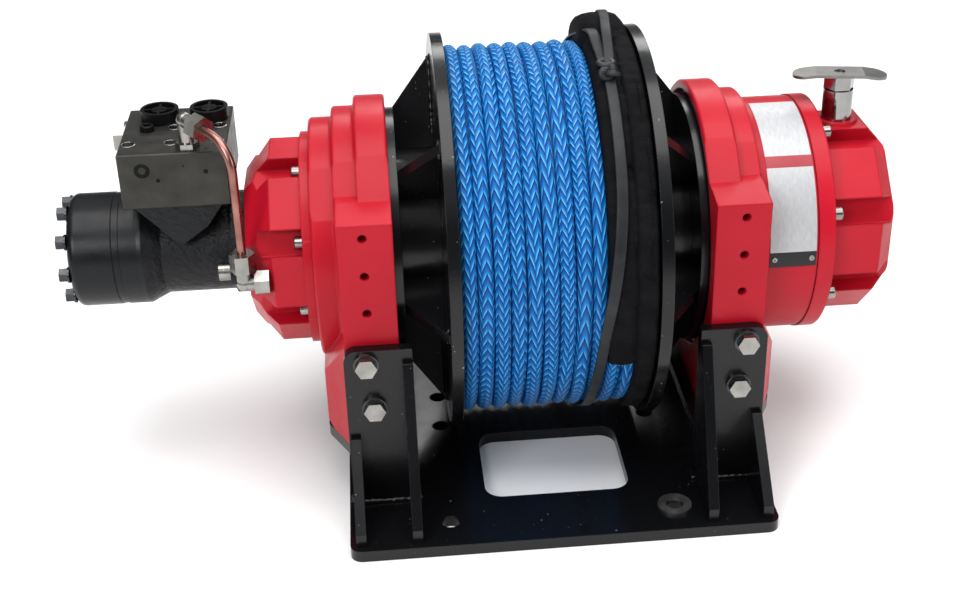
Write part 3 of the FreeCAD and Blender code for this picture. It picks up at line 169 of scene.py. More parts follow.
class Shader:
    """A small wrapper that builds node materials in object space."""

    def __init__(self, name):
        self.mat = bpy.data.materials.new(name)
        self.mat.use_nodes = True
        self.tree = self.mat.node_tree
        self.bsdf = self.tree.nodes["Principled BSDF"]
        self.coords = self.tree.nodes.new("ShaderNodeTexCoord").outputs["Object"]

    def plug(self, value, socket):
        """Link another node's output to a socket, or set a plain value."""
        if isinstance(value, bpy.types.NodeSocket):
            self.tree.links.new(value, socket)
        else:
            socket.default_value = (*value, 1) if isinstance(value, tuple) else value

    def set(self, **values):
        for key, value in values.items():
            self.bsdf.inputs[key.replace("_", " ")].default_value = value

    def link(self, output, name):
        self.tree.links.new(output, self.bsdf.inputs[name])

    def node(self, kind, **inputs):
        made = self.tree.nodes.new("ShaderNode" + kind)
        for key, value in inputs.items():
            self.plug(value, made.inputs[key])
        return made

    def place(self):
        """The x, y and z of the point that is shaded."""
        return self.node("SeparateXYZ", Vector=self.coords).outputs

    def noise(self, scale, detail=4.0, roughness=0.55, vector=None):
        return self.node("TexNoise", Vector=vector or self.coords, Scale=scale, Detail=detail,
                         Roughness=roughness).outputs[0]

    def math(self, operation, a, b=0.0, clamp=False):
        made = self.tree.nodes.new("ShaderNodeMath")
        made.operation = operation
        made.use_clamp = clamp
        for socket, value in zip(made.inputs, (a, b)):
            self.plug(value, socket)
        return made.outputs[0]

    def ramp(self, fac, *stops):
        made = self.tree.nodes.new("ShaderNodeValToRGB")
        self.tree.links.new(fac, made.inputs[0])
        set_stops(made.color_ramp, stops)
        return made.outputs[0]

    def grey(self, fac, *stops):
        return self.ramp(fac, *((at, (v, v, v)) for at, v in stops))

    def mix(self, fac, a, b):
        made = self.tree.nodes.new("ShaderNodeMix")
        made.data_type = "RGBA"
        for index, value in ((0, fac), (6, a), (7, b)):         # 6 and 7 are the colours A and B
            self.plug(value, made.inputs[index])
        return made.outputs[2]

    def bump(self, height, strength, distance, normal=None):
        made = self.node("Bump", Strength=strength, Distance=distance, Height=height)
        if normal is not None:
            self.tree.links.new(normal, made.inputs["Normal"])
        return made.outputs[0]

    def rounded(self, radius):
        """The surface normal with its sharp edges softened."""
        bevel = self.tree.nodes.new("ShaderNodeBevel")
        bevel.samples = 4
        bevel.inputs[0].default_value = radius
        return bevel.outputs[0]


MATERIALS = {}

# slot: dark tone, light tone, smoothest and roughest, metallic, specular
METALS = {
    "zinc_steel": ((0.21, 0.203, 0.188), (0.38, 0.368, 0.343), (0.20, 0.34), 1.0, 0.5),
    "dark_fastener": ((0.030, 0.032, 0.036), (0.080, 0.084, 0.090), (0.25, 0.4), 1.0, 0.5),
    "block_steel": ((0.021, 0.0205, 0.0175), (0.043, 0.0415, 0.0365), (0.34, 0.50), 0.55, 0.5),
    "cap_plastic": ((0.0025, 0.0025, 0.003), (0.006, 0.006, 0.0065), (0.30, 0.42), 0.0, 0.12),
    "copper": ((0.24, 0.10, 0.085), (0.38, 0.185, 0.155), (0.24, 0.38), 1.0, 0.5),
    "chrome": ((0.24, 0.24, 0.235), (0.34, 0.34, 0.33), (0.08, 0.18), 1.0, 0.5),
    "handle_steel": ((0.17, 0.168, 0.16), (0.25, 0.245, 0.235), (0.28, 0.42), 1.0, 0.5),
    "washer_zinc": ((0.12, 0.12, 0.12), (0.22, 0.22, 0.22), (0.4, 0.55), 1.0, 0.5),
}


def metal(slot, dark, light_tone, rough, metallic, specular):
    s = Shader(slot)
    s.link(s.ramp(s.noise(40.0), (0.3, dark), (0.7, light_tone)), "Base Color")
    s.link(s.grey(s.noise(90.0), (0.3, rough[0]), (0.7, rough[1])), "Roughness")
    s.link(s.bump(s.noise(300.0, 3), 0.06, 0.0004), "Normal")
    s.set(Metallic=metallic, Specular_IOR_Level=specular)
    return s.mat


def red_paint():
    """Glossy paint over a casting: slow lumps, fine peel and worn-soft edges."""
    s = Shader("red_paint")
    s.link(s.ramp(s.noise(6.0, 3), (0.3, (0.40, 0.0045, 0.0150)), (0.7, (0.49, 0.0070, 0.0210))),
           "Base Color")
    s.link(s.grey(s.noise(38.0), (0.35, 0.30), (0.7, 0.42)), "Roughness")
    peel = s.bump(s.noise(420.0, 2), 0.05, 0.0004, s.rounded(0.0028))
    s.link(s.bump(s.noise(60.0), 0.16, 0.0010, peel), "Normal")
    s.set(Specular_IOR_Level=0.24, IOR=1.45)
    return s.mat


def black_paint():
    """Thick wet-looking paint with a few light specks."""
    s = Shader("black_paint")
    specks = s.grey(s.noise(240.0, 2), (0.735, 0.0), (0.76, 1.0))
    s.link(s.mix(specks, (0.0035, 0.0037, 0.0045), (0.16, 0.16, 0.17)), "Base Color")
    s.link(s.grey(s.noise(9.0, 5), (0.3, 0.15), (0.75, 0.32)), "Roughness")
    s.link(s.bump(s.noise(42.0, 3), 0.22, 0.0010, s.rounded(0.0012)), "Normal")
    s.set(Coat_Weight=0.06, Coat_Roughness=0.08, IOR=1.45, Specular_IOR_Level=0.38)
    return s.mat


MACHINED_TO, CAST_FROM = 0.0177, 0.0317      # from the outer end of the motor body


def motor_paint():
    """Black paint: smooth on the end cover and the machined ring, lumpy on the cast body."""
    s = Shader("motor_paint")
    ring_start = 1.0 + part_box("motor_body")[0][0]
    cast = s.grey(s.math("ADD", s.place()[0], 1.0), (ring_start + MACHINED_TO, 0.0),
                  (ring_start + CAST_FROM, 1.0))
    lumps = s.math("MULTIPLY", s.noise(150.0, 5, 0.6), cast)
    s.link(s.ramp(s.noise(18.0), (0.3, (0.0028, 0.0034, 0.0046)),
                  (0.75, (0.0062, 0.0072, 0.0092))), "Base Color")
    s.link(s.grey(s.noise(55.0), (0.3, 0.26), (0.75, 0.40)), "Roughness")
    fine = s.bump(s.noise(420.0, 3), 0.14, 0.0005, s.rounded(0.0014))
    s.link(s.bump(lumps, 0.8, 0.0030, fine), "Normal")
    s.set(IOR=1.5, Specular_IOR_Level=0.24)
    return s.mat


RED_BAND, BLACK_BAND_FROM = (38.5, 44.5), 84.2      # from the top of the case to the front


def plate_metal():
    """Bare label plate: a red band, and a black band along its lower edge."""
    s = Shader("plate_metal")
    x, y, z = s.place()
    angle = s.math("ARCTAN2", s.math("MULTIPLY", y, -1.0), s.math("SUBTRACT", z, AXIS))
    angle = s.math("DIVIDE", s.math("DEGREES", angle), 100.0)
    red = s.math("MULTIPLY", s.math("GREATER_THAN", angle, RED_BAND[0] / 100.0),
                 s.math("LESS_THAN", angle, RED_BAND[1] / 100.0))
    black = s.math("GREATER_THAN", angle, BLACK_BAND_FROM / 100.0)
    brushed = s.node("CombineXYZ", X=s.math("MULTIPLY", x, 6.0),
                     Y=s.math("MULTIPLY", angle, 0.4), Z=0.0)
    bare = s.ramp(s.noise(60.0, 3, vector=brushed.outputs[0]), (0.3, (0.40, 0.41, 0.425)),
                  (0.7, (0.48, 0.49, 0.50)))
    s.link(s.mix(black, s.mix(red, bare, (0.30, 0.018, 0.028)), (0.004, 0.004, 0.0045)),
           "Base Color")
    s.link(s.grey(s.noise(30.0, 3), (0.3, 0.34), (0.7, 0.46)), "Roughness")
    s.set(Metallic=0.15)
    return s.mat


def rope_fibre():
    """Blue plait: each half chevron runs from deep blue painted shade to a pale ridge of painted
    highlight, then a dark line of painted shade in the groove.

    The attribute "braid" holds the column round the rope and the chevrons travelled along it.
    """
    s = Shader("rope_fibre")
    braid = s.tree.nodes.new("ShaderNodeAttribute")
    braid.attribute_name = "braid"
    column, along, _ = s.node("SeparateXYZ", Vector=braid.outputs["Vector"]).outputs
    index = s.math("FLOOR", s.math("ADD", column, 0.5))
    across = s.math("SUBTRACT", column, index)
    odd = s.math("FLOORED_MODULO", index, 2.0)
    side = s.math("SUBTRACT", s.math("MULTIPLY", odd, 2.0), 1.0)
    pair = s.math("MULTIPLY", s.math("FLOOR", s.math("DIVIDE", index, 2.0)), 0.5)
    phase = s.math("ADD", s.math("SUBTRACT", along, s.math("MULTIPLY", side, across)), pair)
    crown = s.math("ABSOLUTE", s.math("SINE", s.math("MULTIPLY", phase, math.pi)))
    from_middle = s.math("MULTIPLY", s.math("ABSOLUTE", across), 2.0)
    rim = s.math("SUBTRACT", 1.0, s.math("POWER", from_middle, 3.0))
    crown = s.math("MULTIPLY", s.math("POWER", crown, 0.7), rim, True)
    fibre = s.node("CombineXYZ", X=s.math("MULTIPLY", phase, 7.0),
                   Y=s.math("MULTIPLY", column, 3.0), Z=s.math("MULTIPLY", along, 0.6))
    threads = s.noise(5.0, 3, vector=fibre.outputs[0])
    # Painted light along each chevron: deep blue painted shade where the next one covers it,
    # rising to a painted highlight on its ridge.
    rise = s.math("FRACT", phase)
    # Painted shade: the tone darkens towards the edges of each column, by the grooves between
    # strands.
    groove_shade = s.math("SUBTRACT", 1.0, s.math("MULTIPLY", s.math("SUBTRACT", 1.0, rim), 0.35))
    uneven = s.math("SUBTRACT", s.math("ADD", threads, s.noise(22.0, 3)), 1.0)
    tone = s.math("ADD", s.math("MULTIPLY", rise, groove_shade), s.math("MULTIPLY", uneven, 0.30))
    # The pale stops at 0.88 and 0.985 are painted highlight; the deep blue at 0.03 and the dark
    # line at 1.0 are painted shade.
    s.link(s.ramp(tone, (0.03, (0.001, 0.026, 0.14)), (0.35, (0.004, 0.085, 0.33)),
                  (0.68, (0.009, 0.18, 0.52)), (0.88, (0.060, 0.42, 0.80)),
                  (0.985, (0.15, 0.56, 0.88)), (1.0, (0.002, 0.04, 0.17))), "Base Color")
    s.link(s.bump(s.math("ADD", crown, s.math("MULTIPLY", threads, 0.5)), 0.6, 0.0008),
           "Normal")
    s.set(Roughness=0.42, Specular_IOR_Level=0.20)
    return s.mat


def sleeve_fabric():
    """Black woven cloth: a fine weave over soft creases."""
    s = Shader("sleeve_fabric")
    x, y, z = s.place()
    angle = s.math("ARCTAN2", y, s.math("SUBTRACT", z, AXIS))
    weft = s.math("SINE", s.math("MULTIPLY", angle, 900.0))
    warp = s.math("SINE", s.math("MULTIPLY", x, 4500.0))
    s.link(s.ramp(s.noise(50.0), (0.3, (0.0022, 0.0022, 0.0028)),
                  (0.72, (0.0065, 0.0065, 0.0076))), "Base Color")
    weave = s.bump(s.math("MULTIPLY", weft, warp), 0.35, 0.0004)
    s.link(s.bump(s.noise(85.0), 0.5, 0.0016, weave), "Normal")
    s.set(Roughness=0.80, IOR=1.4, Specular_IOR_Level=0.14)
    return s.mat


def strap_rubber():
    s = Shader("strap_rubber")
    s.link(s.ramp(s.noise(45.0), (0.3, (0.008, 0.009, 0.0105)), (0.72, (0.019, 0.0202, 0.023))),
           "Base Color")
    s.link(s.bump(s.noise(500.0, 3), 0.2, 0.0006), "Normal")
    s.link(s.grey(s.noise(60.0), (0.3, 0.42), (0.75, 0.6)), "Roughness")
    s.set(Specular_IOR_Level=0.3)
    return s.mat


def dress():
    """Make every material and give each CAD node the one that its slot names."""
    for make in (red_paint, black_paint, motor_paint, plate_metal, rope_fibre, sleeve_fabric,
                 strap_rubber):
        MATERIALS[make.__name__] = make()
    for slot, values in METALS.items():
        MATERIALS[slot] = metal(slot, *values)
    slots = {s["node"]: s["material_slot"] for s in frame["record"]["subparts"]}
    for name, obj in frame["nodes"].items():
        obj.data.materials.clear()
        obj.data.materials.append(MATERIALS[slots[name]])


# ------------------------------------------------------------------ shapes
def smooth(a, b, x):
    """0 before a, 1 after b, and an even step between them."""
    t = min(max((x - a) / (b - a), 0.0), 1.0)
    return t * t * (3.0 - 2.0 * t)


def outward(theta):
    """The direction away from the drum axis, at an angle from the top towards the front."""
    t = math.radians(theta)
    return Vector((0, -math.sin(t), math.cos(t)))


def on_drum(theta, x, radius):
    """A point at an angle from the top of the drum towards the front."""
    return Vector((x, 0, AXIS)) + outward(theta) * radius


def turn_angles(n):
    return [2 * math.pi * i / n for i in range(n)]


def across_axis(axis):
    """Two directions square to an axis and to each other."""
    u = axis.orthogonal().normalized()
    return u, axis.cross(u)


def piece(name, verts, faces, slot, body="frame", stands_for=(), smooth_shade=True):
    mesh = bpy.data.meshes.new(name)
    mesh.from_pydata([tuple(v) for v in verts], [], faces)
    mesh.validate()
    mesh.polygons.foreach_set("use_smooth", [smooth_shade] * len(mesh.polygons))
    obj = bpy.data.objects.new(name, mesh)
    scene.collection.objects.link(obj)
    mesh.materials.append(MATERIALS[slot])
    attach(obj, body)
    if stands_for:
        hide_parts(*stands_for)
    return obj


def grid_faces(rows, columns, first=0, wrap_columns=False, wrap_rows=False):
    """Quads over a grid of points that starts at index first."""
    faces = []
    for i in range(rows if wrap_rows else rows - 1):
        for j in range(columns if wrap_columns else columns - 1):
            a = first + i * columns + j
            b = first + i * columns + (j + 1) % columns
            step = columns if i < rows - 1 else -columns * (rows - 1)
            faces.append((a, b, b + step, a + step))
    return faces


def capped_tube(rows, n):
    """Quads of a tube with a face over each end."""
    return grid_faces(rows, n, wrap_columns=True) + [tuple(range(n))[::-1],
                                                     tuple(range(n * (rows - 1), n * rows))]


def join(parts):
    """One list of points and one of faces from several pairs of them."""
    verts, faces = [], []
    for v, f in parts:
        faces += [tuple(k + len(verts) for k in face) for face in f]
        verts += v
    return verts, faces


def spline(points, count):
    """Catmull-Rom through the points."""
    result, spans = [], len(points) - 1
    for i in range(count):
        at = i / (count - 1) * spans
        k = min(int(at), spans - 1)
        t = at - k
        p0, p1, p2, p3 = (points[min(max(k + m, 0), spans)] for m in (-1, 0, 1, 2))
        result.append(0.5 * ((2 * p1) + (p2 - p0) * t + (2 * p0 - 5 * p1 + 4 * p2 - p3) * t * t
                             + (3 * p1 - p0 - 3 * p2 + p3) * t ** 3))
    return result


def direction(path, i):
    """The way an open path runs at its point i."""
    return (path[min(i + 1, len(path) - 1)] - path[max(i - 1, 0)]).normalized()


def islands(node):
    """The separate solids of a CAD node, as (lowest corner, highest corner)."""
    bm = bmesh.new()
    bm.from_mesh(frame["nodes"][node].data)
    bmesh.ops.remove_doubles(bm, verts=bm.verts, dist=1e-6)
    seen, found = set(), []
    for vert in bm.verts:
        if vert in seen:
            continue
        stack, group = [vert], []
        seen.add(vert)
        while stack:
            v = stack.pop()
            group.append(v.co.copy())
            for edge in v.link_edges:
                other = edge.other_vert(v)
                if other not in seen:
                    seen.add(other)
                    stack.append(other)
        found.append((Vector([min(p[k] for p in group) for k in range(3)]),
                      Vector([max(p[k] for p in group) for k in range(3)])))
    bm.free()
    return found


# ------------------------------------------------------------------ rope
TURNS = 12                        # turns of the top layer
COLUMNS, CHEVRON = 8.4, 0.0112    # plait columns round the rope, length of one chevron
PLAIT_DEPTH = 0.0008
TURN_START = 200.0                # each turn begins under the drum, just behind its lowest point
CROSSING = 0.86                   # share of a turn after which it moves over to the next
SHOWN_HALF = 118                  # how far each side of a turn's section is modelled
TURN_RISE = (-0.0014, 0.0006)     # lowest and highest that a turn lies off the even layer
WANDER, SWELL = 0.00035, 0.0004   # of a turn along the drum, and away from it
GAP_DEPTH = 1.12                  # layer below the gaps, in rope radii under the turns' tops


def braid_height(column, along):
    """0 in the grooves of the plait and 1 on its strands; rope_fibre has the same pattern."""
    index = math.floor(column + 0.5)
    across = column - index
    side = 1 if index % 2 else -1
    phase = along - side * across + 0.5 * math.floor(index / 2)
    return abs(math.sin(math.pi * phase)) ** 0.6 * (1.0 - 0.55 * (2 * across) ** 2)


def rope():
    """All the open and covered turns of the top layer, with a closed layer below the gaps."""
    low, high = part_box("rope_pack")
    radius = (high[2] - low[2]) / 2
    steps, segments, below = 500, 13, 96
    pitch = (high[0] - low[0]) / TURNS
    thick = pitch * 0.505         # radius of the rope: the turns press on each other
    verts, attribute = [], []
    rise = [random.uniform(*TURN_RISE) for _ in range(TURNS + 1)]
    for i in range(TURNS * steps + 1):
        turn, part = divmod(i / steps, 1.0)
        turn = int(turn)
        theta = TURN_START + 360.0 * part
        shift = smooth(CROSSING, 1.0, part)
        x = low[0] + pitch * (min(turn, TURNS - 1) + 0.5)
        x += pitch * shift * (turn < TURNS - 1)
        x += WANDER * math.sin(theta * 0.11 + turn * 2.3)
        lift = rise[turn] * (1 - shift) + rise[min(turn + 1, TURNS)] * shift
        lift += SWELL * math.sin(theta * 0.063 + turn * 1.7)
        centre_radius = radius - thick + lift
        along = i / steps * 2 * math.pi * centre_radius / CHEVRON
        roll = turn * 0.37 + 0.8 * math.sin(theta * 0.012 + turn)
        for j in range(segments):
            alpha = math.radians(-SHOWN_HALF + 2 * SHOWN_HALF * j / (segments - 1))
            column = alpha / (2 * math.pi / COLUMNS) + roll
            r = thick - PLAIT_DEPTH * (1.0 - braid_height(column, along))
            verts.append(on_drum(theta, x + r * math.sin(alpha),
                                 centre_radius + r * math.cos(alpha)))
            attribute.append((column, along, 0.0))
    faces = grid_faces(TURNS * steps + 1, segments)
    first = len(verts)
    for i in range(below):
        for x in (low[0], high[0]):
            verts.append(on_drum(i * 360.0 / below, x, radius - thick * GAP_DEPTH))
            attribute.append((0.0, 0.0, 0.0))
    faces += grid_faces(below, 2, first, wrap_rows=True)
    obj = piece("rope_turns", verts, faces, "rope_fibre", "drum", ("rope_pack",))
    data = obj.data.attributes.new("braid", "FLOAT_VECTOR", "POINT")
    data.data.foreach_set("vector", [c for v in attribute for c in v])


# ------------------------------------------------------------------ sleeve
OPEN_TURNS = 9                    # turns left of the sleeve
CREASE, FINE_CREASE, FOLD, HEM = 0.0022, 0.0010, 0.0018, 0.0007      # how deep or high
TUCK = 0.006                      # edges of the sleeve below the turns' tops
SEAM_INSET, SEAM_HEIGHT = 0.0075, 0.0112     # from the rope's right end, above the turns
STITCH_WIDTH, STITCH_GAUGE = 0.0011, 0.0010
STITCHES, STITCH_FROM, STITCH_STEP = 46, 24, 1.25
STITCH_POINTS = (0.0, 0.4, 0.85)


def wrinkle(theta, x, scale, seed):
    point = Vector((x * 45.0 * scale, theta * 0.11 * scale, seed))
    return noise.fractal(point, 1.0, 2.0, 4)


def cloth(name, spans, theta_from, theta_to, top, left, right, bottom, seed,
          stands_for=(), lean=0.0):
    """A cloth laid over the turns as an arch; top, left and right are functions of the angle."""
    rows, columns = spans
    verts = []
    for i in range(rows):
        theta = theta_from + (theta_to - theta_from) * i / (rows - 1)
        x0, x1, high = left(theta), right(theta), top(theta)
        middle, half = (x0 + x1) / 2, (x1 - x0) / 2
        hem = HEM * (smooth(theta_to - 2.4, theta_to - 1.8, theta)
                     - smooth(theta_to - 0.8, theta_to, theta))
        for j in range(columns):
            beta = math.pi * (1.0 - j / (columns - 1))
            c, s = math.cos(beta), math.sin(beta)
            x = middle + half * math.copysign(abs(c) ** 0.55, c)
            rise = max(s, 0.0) ** 0.5 * (1.0 - lean * max(c, 0.0) ** 2)
            crease = CREASE * wrinkle(theta, x, 1.0, seed) * rise
            crease += FINE_CREASE * wrinkle(theta * 3.1, x, 1.6, seed + 5.0) * rise
            wander = 2.0 * noise.noise(Vector((x * 30, theta * 0.05, seed)))
            fold = abs(math.sin(theta * 0.21 + wander))
            crease -= FOLD * (1.0 - fold) ** 5 * rise
            verts.append(on_drum(theta, x, bottom + (high - bottom) * rise + crease + hem))
    obj = piece(name, verts, grid_faces(rows, columns), "sleeve_fabric", "drum", stands_for)


def sleeve():
    """Two lengths of sleeve over the last three turns, a loose fold on top and a seam."""
    low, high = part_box("rope_pack")
    crown = (high[2] - low[2]) / 2
    pitch = (high[0] - low[0]) / TURNS
    step = low[0] + OPEN_TURNS * pitch
    cloth("rope_sleeve_narrow", (260, 28), -46, 110,
          lambda t: crown + 0.0060 + 0.0015 * smooth(60, 20, t),
          lambda t: step - 0.0008, lambda t: step + pitch * 2.05, crown - TUCK,
          1.0, ("rope_sleeve",))
    cloth("rope_sleeve_wide", (300, 28), -46, 152,
          lambda t: crown + 0.0105 - 0.005 * smooth(95, 148, t),
          lambda t: step + pitch * (1.55 + 0.2 * smooth(90, 125, t)), lambda t: high[0],
          crown - TUCK, 7.0)
    cloth("rope_sleeve_fold", (120, 34), -42, 2,
          lambda t: crown + 0.009 + 0.0165 * smooth(-44, -24, t) * smooth(4, -9, t),
          lambda t: step - 0.0075 * smooth(-40, -28, t) * smooth(3, -6, t) + 0.004,
          lambda t: high[0], crown - 0.002, 11.0, lean=0.30)
    lines = []
    for k in range(STITCHES):
        theta = STITCH_FROM + k * STITCH_STEP
        x = high[0] - SEAM_INSET + 0.0012 * math.sin(theta * 0.14)
        lines.append(band([(theta + part, x, crown + SEAM_HEIGHT) for part in STITCH_POINTS],
                          STITCH_WIDTH, STITCH_GAUGE, 4))
    piece("sleeve_stitches", *join(lines), "sleeve_fabric", "drum")


# ------------------------------------------------------------------ strap
# Each row: angle, millimetres from the right end of the rope, millimetres above its turns.
ROUND_THE_DRUM = (
    (14, 34.1, 11.0), (19, 33.1, 12.0), (25, 32.9, 11.0), (40, 32.9, 10.5), (59, 34.1, 10.3),
    (75, 39.1, 9.8), (88, 45.3, 7.8), (98, 49.1, 2.5), (110, 52.6, 1.8), (129, 56.6, 1.6),
    (155, 58.1, 1.6), (190, 58.1, 1.6), (230, 57.6, 1.6), (270, 56.1, 1.6), (305, 52.1, 1.8),
    (330, 48.1, 2.0), (342, 46.6, 3.5), (350, 44.1, 7.5), (357, 40.6, 15.0), (362, 38.6, 17.0),
    (368, 37.6, 14.0), (375, 35.3, 10.5))
OVER_THE_FOLD = (
    (19, 31.1, 13.0), (14, 29.6, 14.0), (8, 28.1, 18.5), (2, 26.6, 23.0), (-5, 24.1, 25.5),
    (-12, 21.6, 26.0), (-22, 18.6, 25.8), (-32, 15.6, 21.0), (-42, 13.6, 12.0),
    (-52, 12.1, 4.8), (-64, 12.1, 0.0), (-74, 12.1, -4.5))
LOOP_AT, KNOT_AT = (17, 33.6, 13.5), (22, 33.1, 16.0)
# width and gauge of a band; half width, half length and half gauge of a loop
STRAP, STRAP_END = (0.0108, 0.0026), (0.0098, 0.0024)
LOOP, KNOT = (0.0066, 0.0056, 0.0027), (0.0080, 0.0062, 0.0031)


def band(route, width, gauge, count):
    """A flat band along points given as (angle, x, radius); returns vertices and faces."""
    n, verts = 12, []
    places = [on_drum(*p) for p in spline([Vector(p) for p in route], count)]
    for i, p in enumerate(places):
        tangent = direction(places, i)
        out = (p - Vector((p.x, 0, AXIS))).normalized()
        side = tangent.cross(out).normalized()
        out = side.cross(tangent).normalized()
        for a in turn_angles(n):
            c, s = math.cos(a), math.sin(a)
            verts.append(p + side * (width / 2 * math.copysign(abs(c) ** 0.35, c))
                         + out * (gauge / 2 * math.copysign(abs(s) ** 0.5, s)))
    return verts, capped_tube(count, n)


def ring(theta, x, radius, across, along, tube, count, knot=False):
    """A loop, or a small overhand knot, of round section lying on the drum."""
    n, verts, places = 10, [], []
    centre, out, side = on_drum(theta, x, radius), outward(theta), Vector((1, 0, 0))
    down = outward(theta + 90)
    for a in turn_angles(count):
        if knot:
            u, w = math.sin(a) + 2 * math.sin(2 * a), math.cos(a) - 2 * math.cos(2 * a)
            places.append(centre + side * u * across / 3 + down * w * along / 3
                          - out * math.sin(3 * a) * tube * 0.85)
        else:
            places.append(centre + side * math.cos(a) * across + down * math.sin(a) * along
                          + out * 0.0012 * math.sin(a))
    for i, p in enumerate(places):
        tangent = (places[(i + 1) % count] - places[i - 1]).normalized()
        u = tangent.cross(out).normalized()
        w = u.cross(tangent)
        verts += [p + (u * math.cos(b) * 1.25 + w * math.sin(b) * 0.8) * tube
                  for b in turn_angles(n)]
    return verts, grid_faces(count, n, wrap_columns=True, wrap_rows=True)


def strap():
    """A rubber strap once round the drum, its second end over the fold, and its knot."""
    top_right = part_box("rope_pack")[1]
    crown = top_right[2] - AXIS

    def placed(row):
        theta, inset, rise = row
        return theta, top_right[0] - inset / 1000, crown + rise / 1000

    verts, faces = join([
        band([placed(row) for row in ROUND_THE_DRUM], *STRAP, 420),
        band([placed(row) for row in OVER_THE_FOLD], *STRAP_END, 90),
        ring(*placed(LOOP_AT), *LOOP, 48),
        ring(*placed(KNOT_AT), *KNOT, 90, True)])
    piece("strap_with_knot", verts, faces, "strap_rubber", "drum", ("tie_strap",))


# ------------------------------------------------------------------ small hardware
# CAD node, side it points to, name of the finer piece, height of a head
CAP_SCREWS = (("cover_screws", 1, "cover_screw_heads", 0.0088),
              ("bell_screws", -1, "bell_screw_heads", 0.0100))
BOLT_HEAD_HEIGHT, BOLT_HEAD_RADIUS = 0.0080, 0.0090
BORE_RIM = (0.0058, 0.0070)
RIVET_ANGLE, RIVET_INSET, RIVET_RADIUS, RIVET_HEIGHT = 87.6, 0.0045, 0.0028, 0.0013
# from the left, and up from the bottom, of the block's front face; radius
FRONT_PORTS = ((0.0365, 0.0286, 0.0021), (0.0823, 0.0358, 0.0024), (0.0615, 0.0423, 0.0010))
TOP_PORT = (0.0839, 0.0086, 0.0016)      # from the left and from the front of its top; radius


def circles(centre, axis, rows, n):
    """Points of circles round an axis, one circle for each (radius, height)."""
    u, w = across_axis(axis)
    return [centre + axis * h + (u * math.cos(a) + w * math.sin(a)) * r
            for r, h in rows for a in turn_angles(n)]


def cap_screw(centre, axis, radius, height, socket=0.52, deep=0.55, ridged=True):
    """Socket head: ridged side, chamfer and a hexagonal recess."""
    n, verts = 36, []
    u, w = across_axis(axis)
    chamfer = radius * 0.12
    loops = [("round", radius, 0.0), ("round", radius, height - chamfer),
             ("flat", radius - chamfer, height), ("hex", radius * socket + 0.0004, height),
             ("hex", radius * socket, height - 0.0004),
             ("hex", radius * socket, height * (1 - deep))]
    for kind, r, h in loops:
        for i, a in enumerate(turn_angles(n)):
            if kind == "hex":
                q = r / math.cos((a + math.pi / 6) % (math.pi / 3) - math.pi / 6)
            else:
                q = r * (1 - 0.018 * (i % 2)) if kind == "round" and ridged else r
            verts.append(centre + axis * h + (u * math.cos(a) + w * math.sin(a)) * q)
    faces = grid_faces(len(loops), n, wrap_columns=True)
    faces.append(tuple(range(n * (len(loops) - 1), n * len(loops))))
    return verts, faces


def annulus(centre, axis, inner, outer):
    """A flat ring, slightly raised."""
    n = 28
    rows = ((inner, -0.0004), (inner, 0.00024), ((inner + outer) / 2, 0.0004), (outer, 0.0))
    return circles(centre, axis, rows, n), grid_faces(len(rows), n, wrap_columns=True)


def recess(centre, axis, radius):
    """A near-black disc, barely raised, as painted shade for the inside of a small drilled hole.
    """
    n = 20
    rows = ((radius, 0.00005), (radius * 0.82, 0.00022), (radius * 0.5, 0.00026))
    faces = grid_faces(len(rows), n, wrap_columns=True)
    faces.append(tuple(range(2 * n, 3 * n)))
    return circles(centre, axis, rows, n), faces


def end_screws():
    for node, sign, name, height in CAP_SCREWS:
        heads = []
        for lo, hi in islands(node):
            x = (hi.x if sign > 0 else lo.x) - sign * height
            centre = Vector((x, (lo.y + hi.y) / 2, (lo.z + hi.z) / 2))
            heads.append(cap_screw(centre, Vector((sign, 0, 0)), (hi.y - lo.y) / 2, height))
        piece(name, *join(heads), "zinc_steel", "frame", (node,), False)


def washer_faces():
    """The dark faces of the washers that show round the bracket bolts' heads."""
    rings = []
    for node in ("left_bracket_bolts", "right_bracket_bolts"):
        for lo, hi in islands(node):
            sign, outer = (-1, lo.y) if lo.y < 0 else (1, hi.y)
            centre = Vector(((lo.x + hi.x) / 2, outer - sign * BOLT_HEAD_HEIGHT,
                             (lo.z + hi.z) / 2))
            rings.append(annulus(centre, Vector((0, sign, 0)), BOLT_HEAD_RADIUS,
                                 (hi.x - lo.x) / 2))
    piece("bracket_washer_faces", *join(rings), "dark_fastener")


def plate_rivets():
    lo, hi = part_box("rating_plate")
    radius = hi[2] - AXIS - 0.0002
    heads = [cap_screw(on_drum(RIVET_ANGLE, x, radius), outward(RIVET_ANGLE), RIVET_RADIUS,
                       RIVET_HEIGHT, 0.3, 0.2, False)
             for x in (lo[0] + RIVET_INSET, hi[0] - RIVET_INSET)]
    piece("plate_rivets", *join(heads), "zinc_steel")


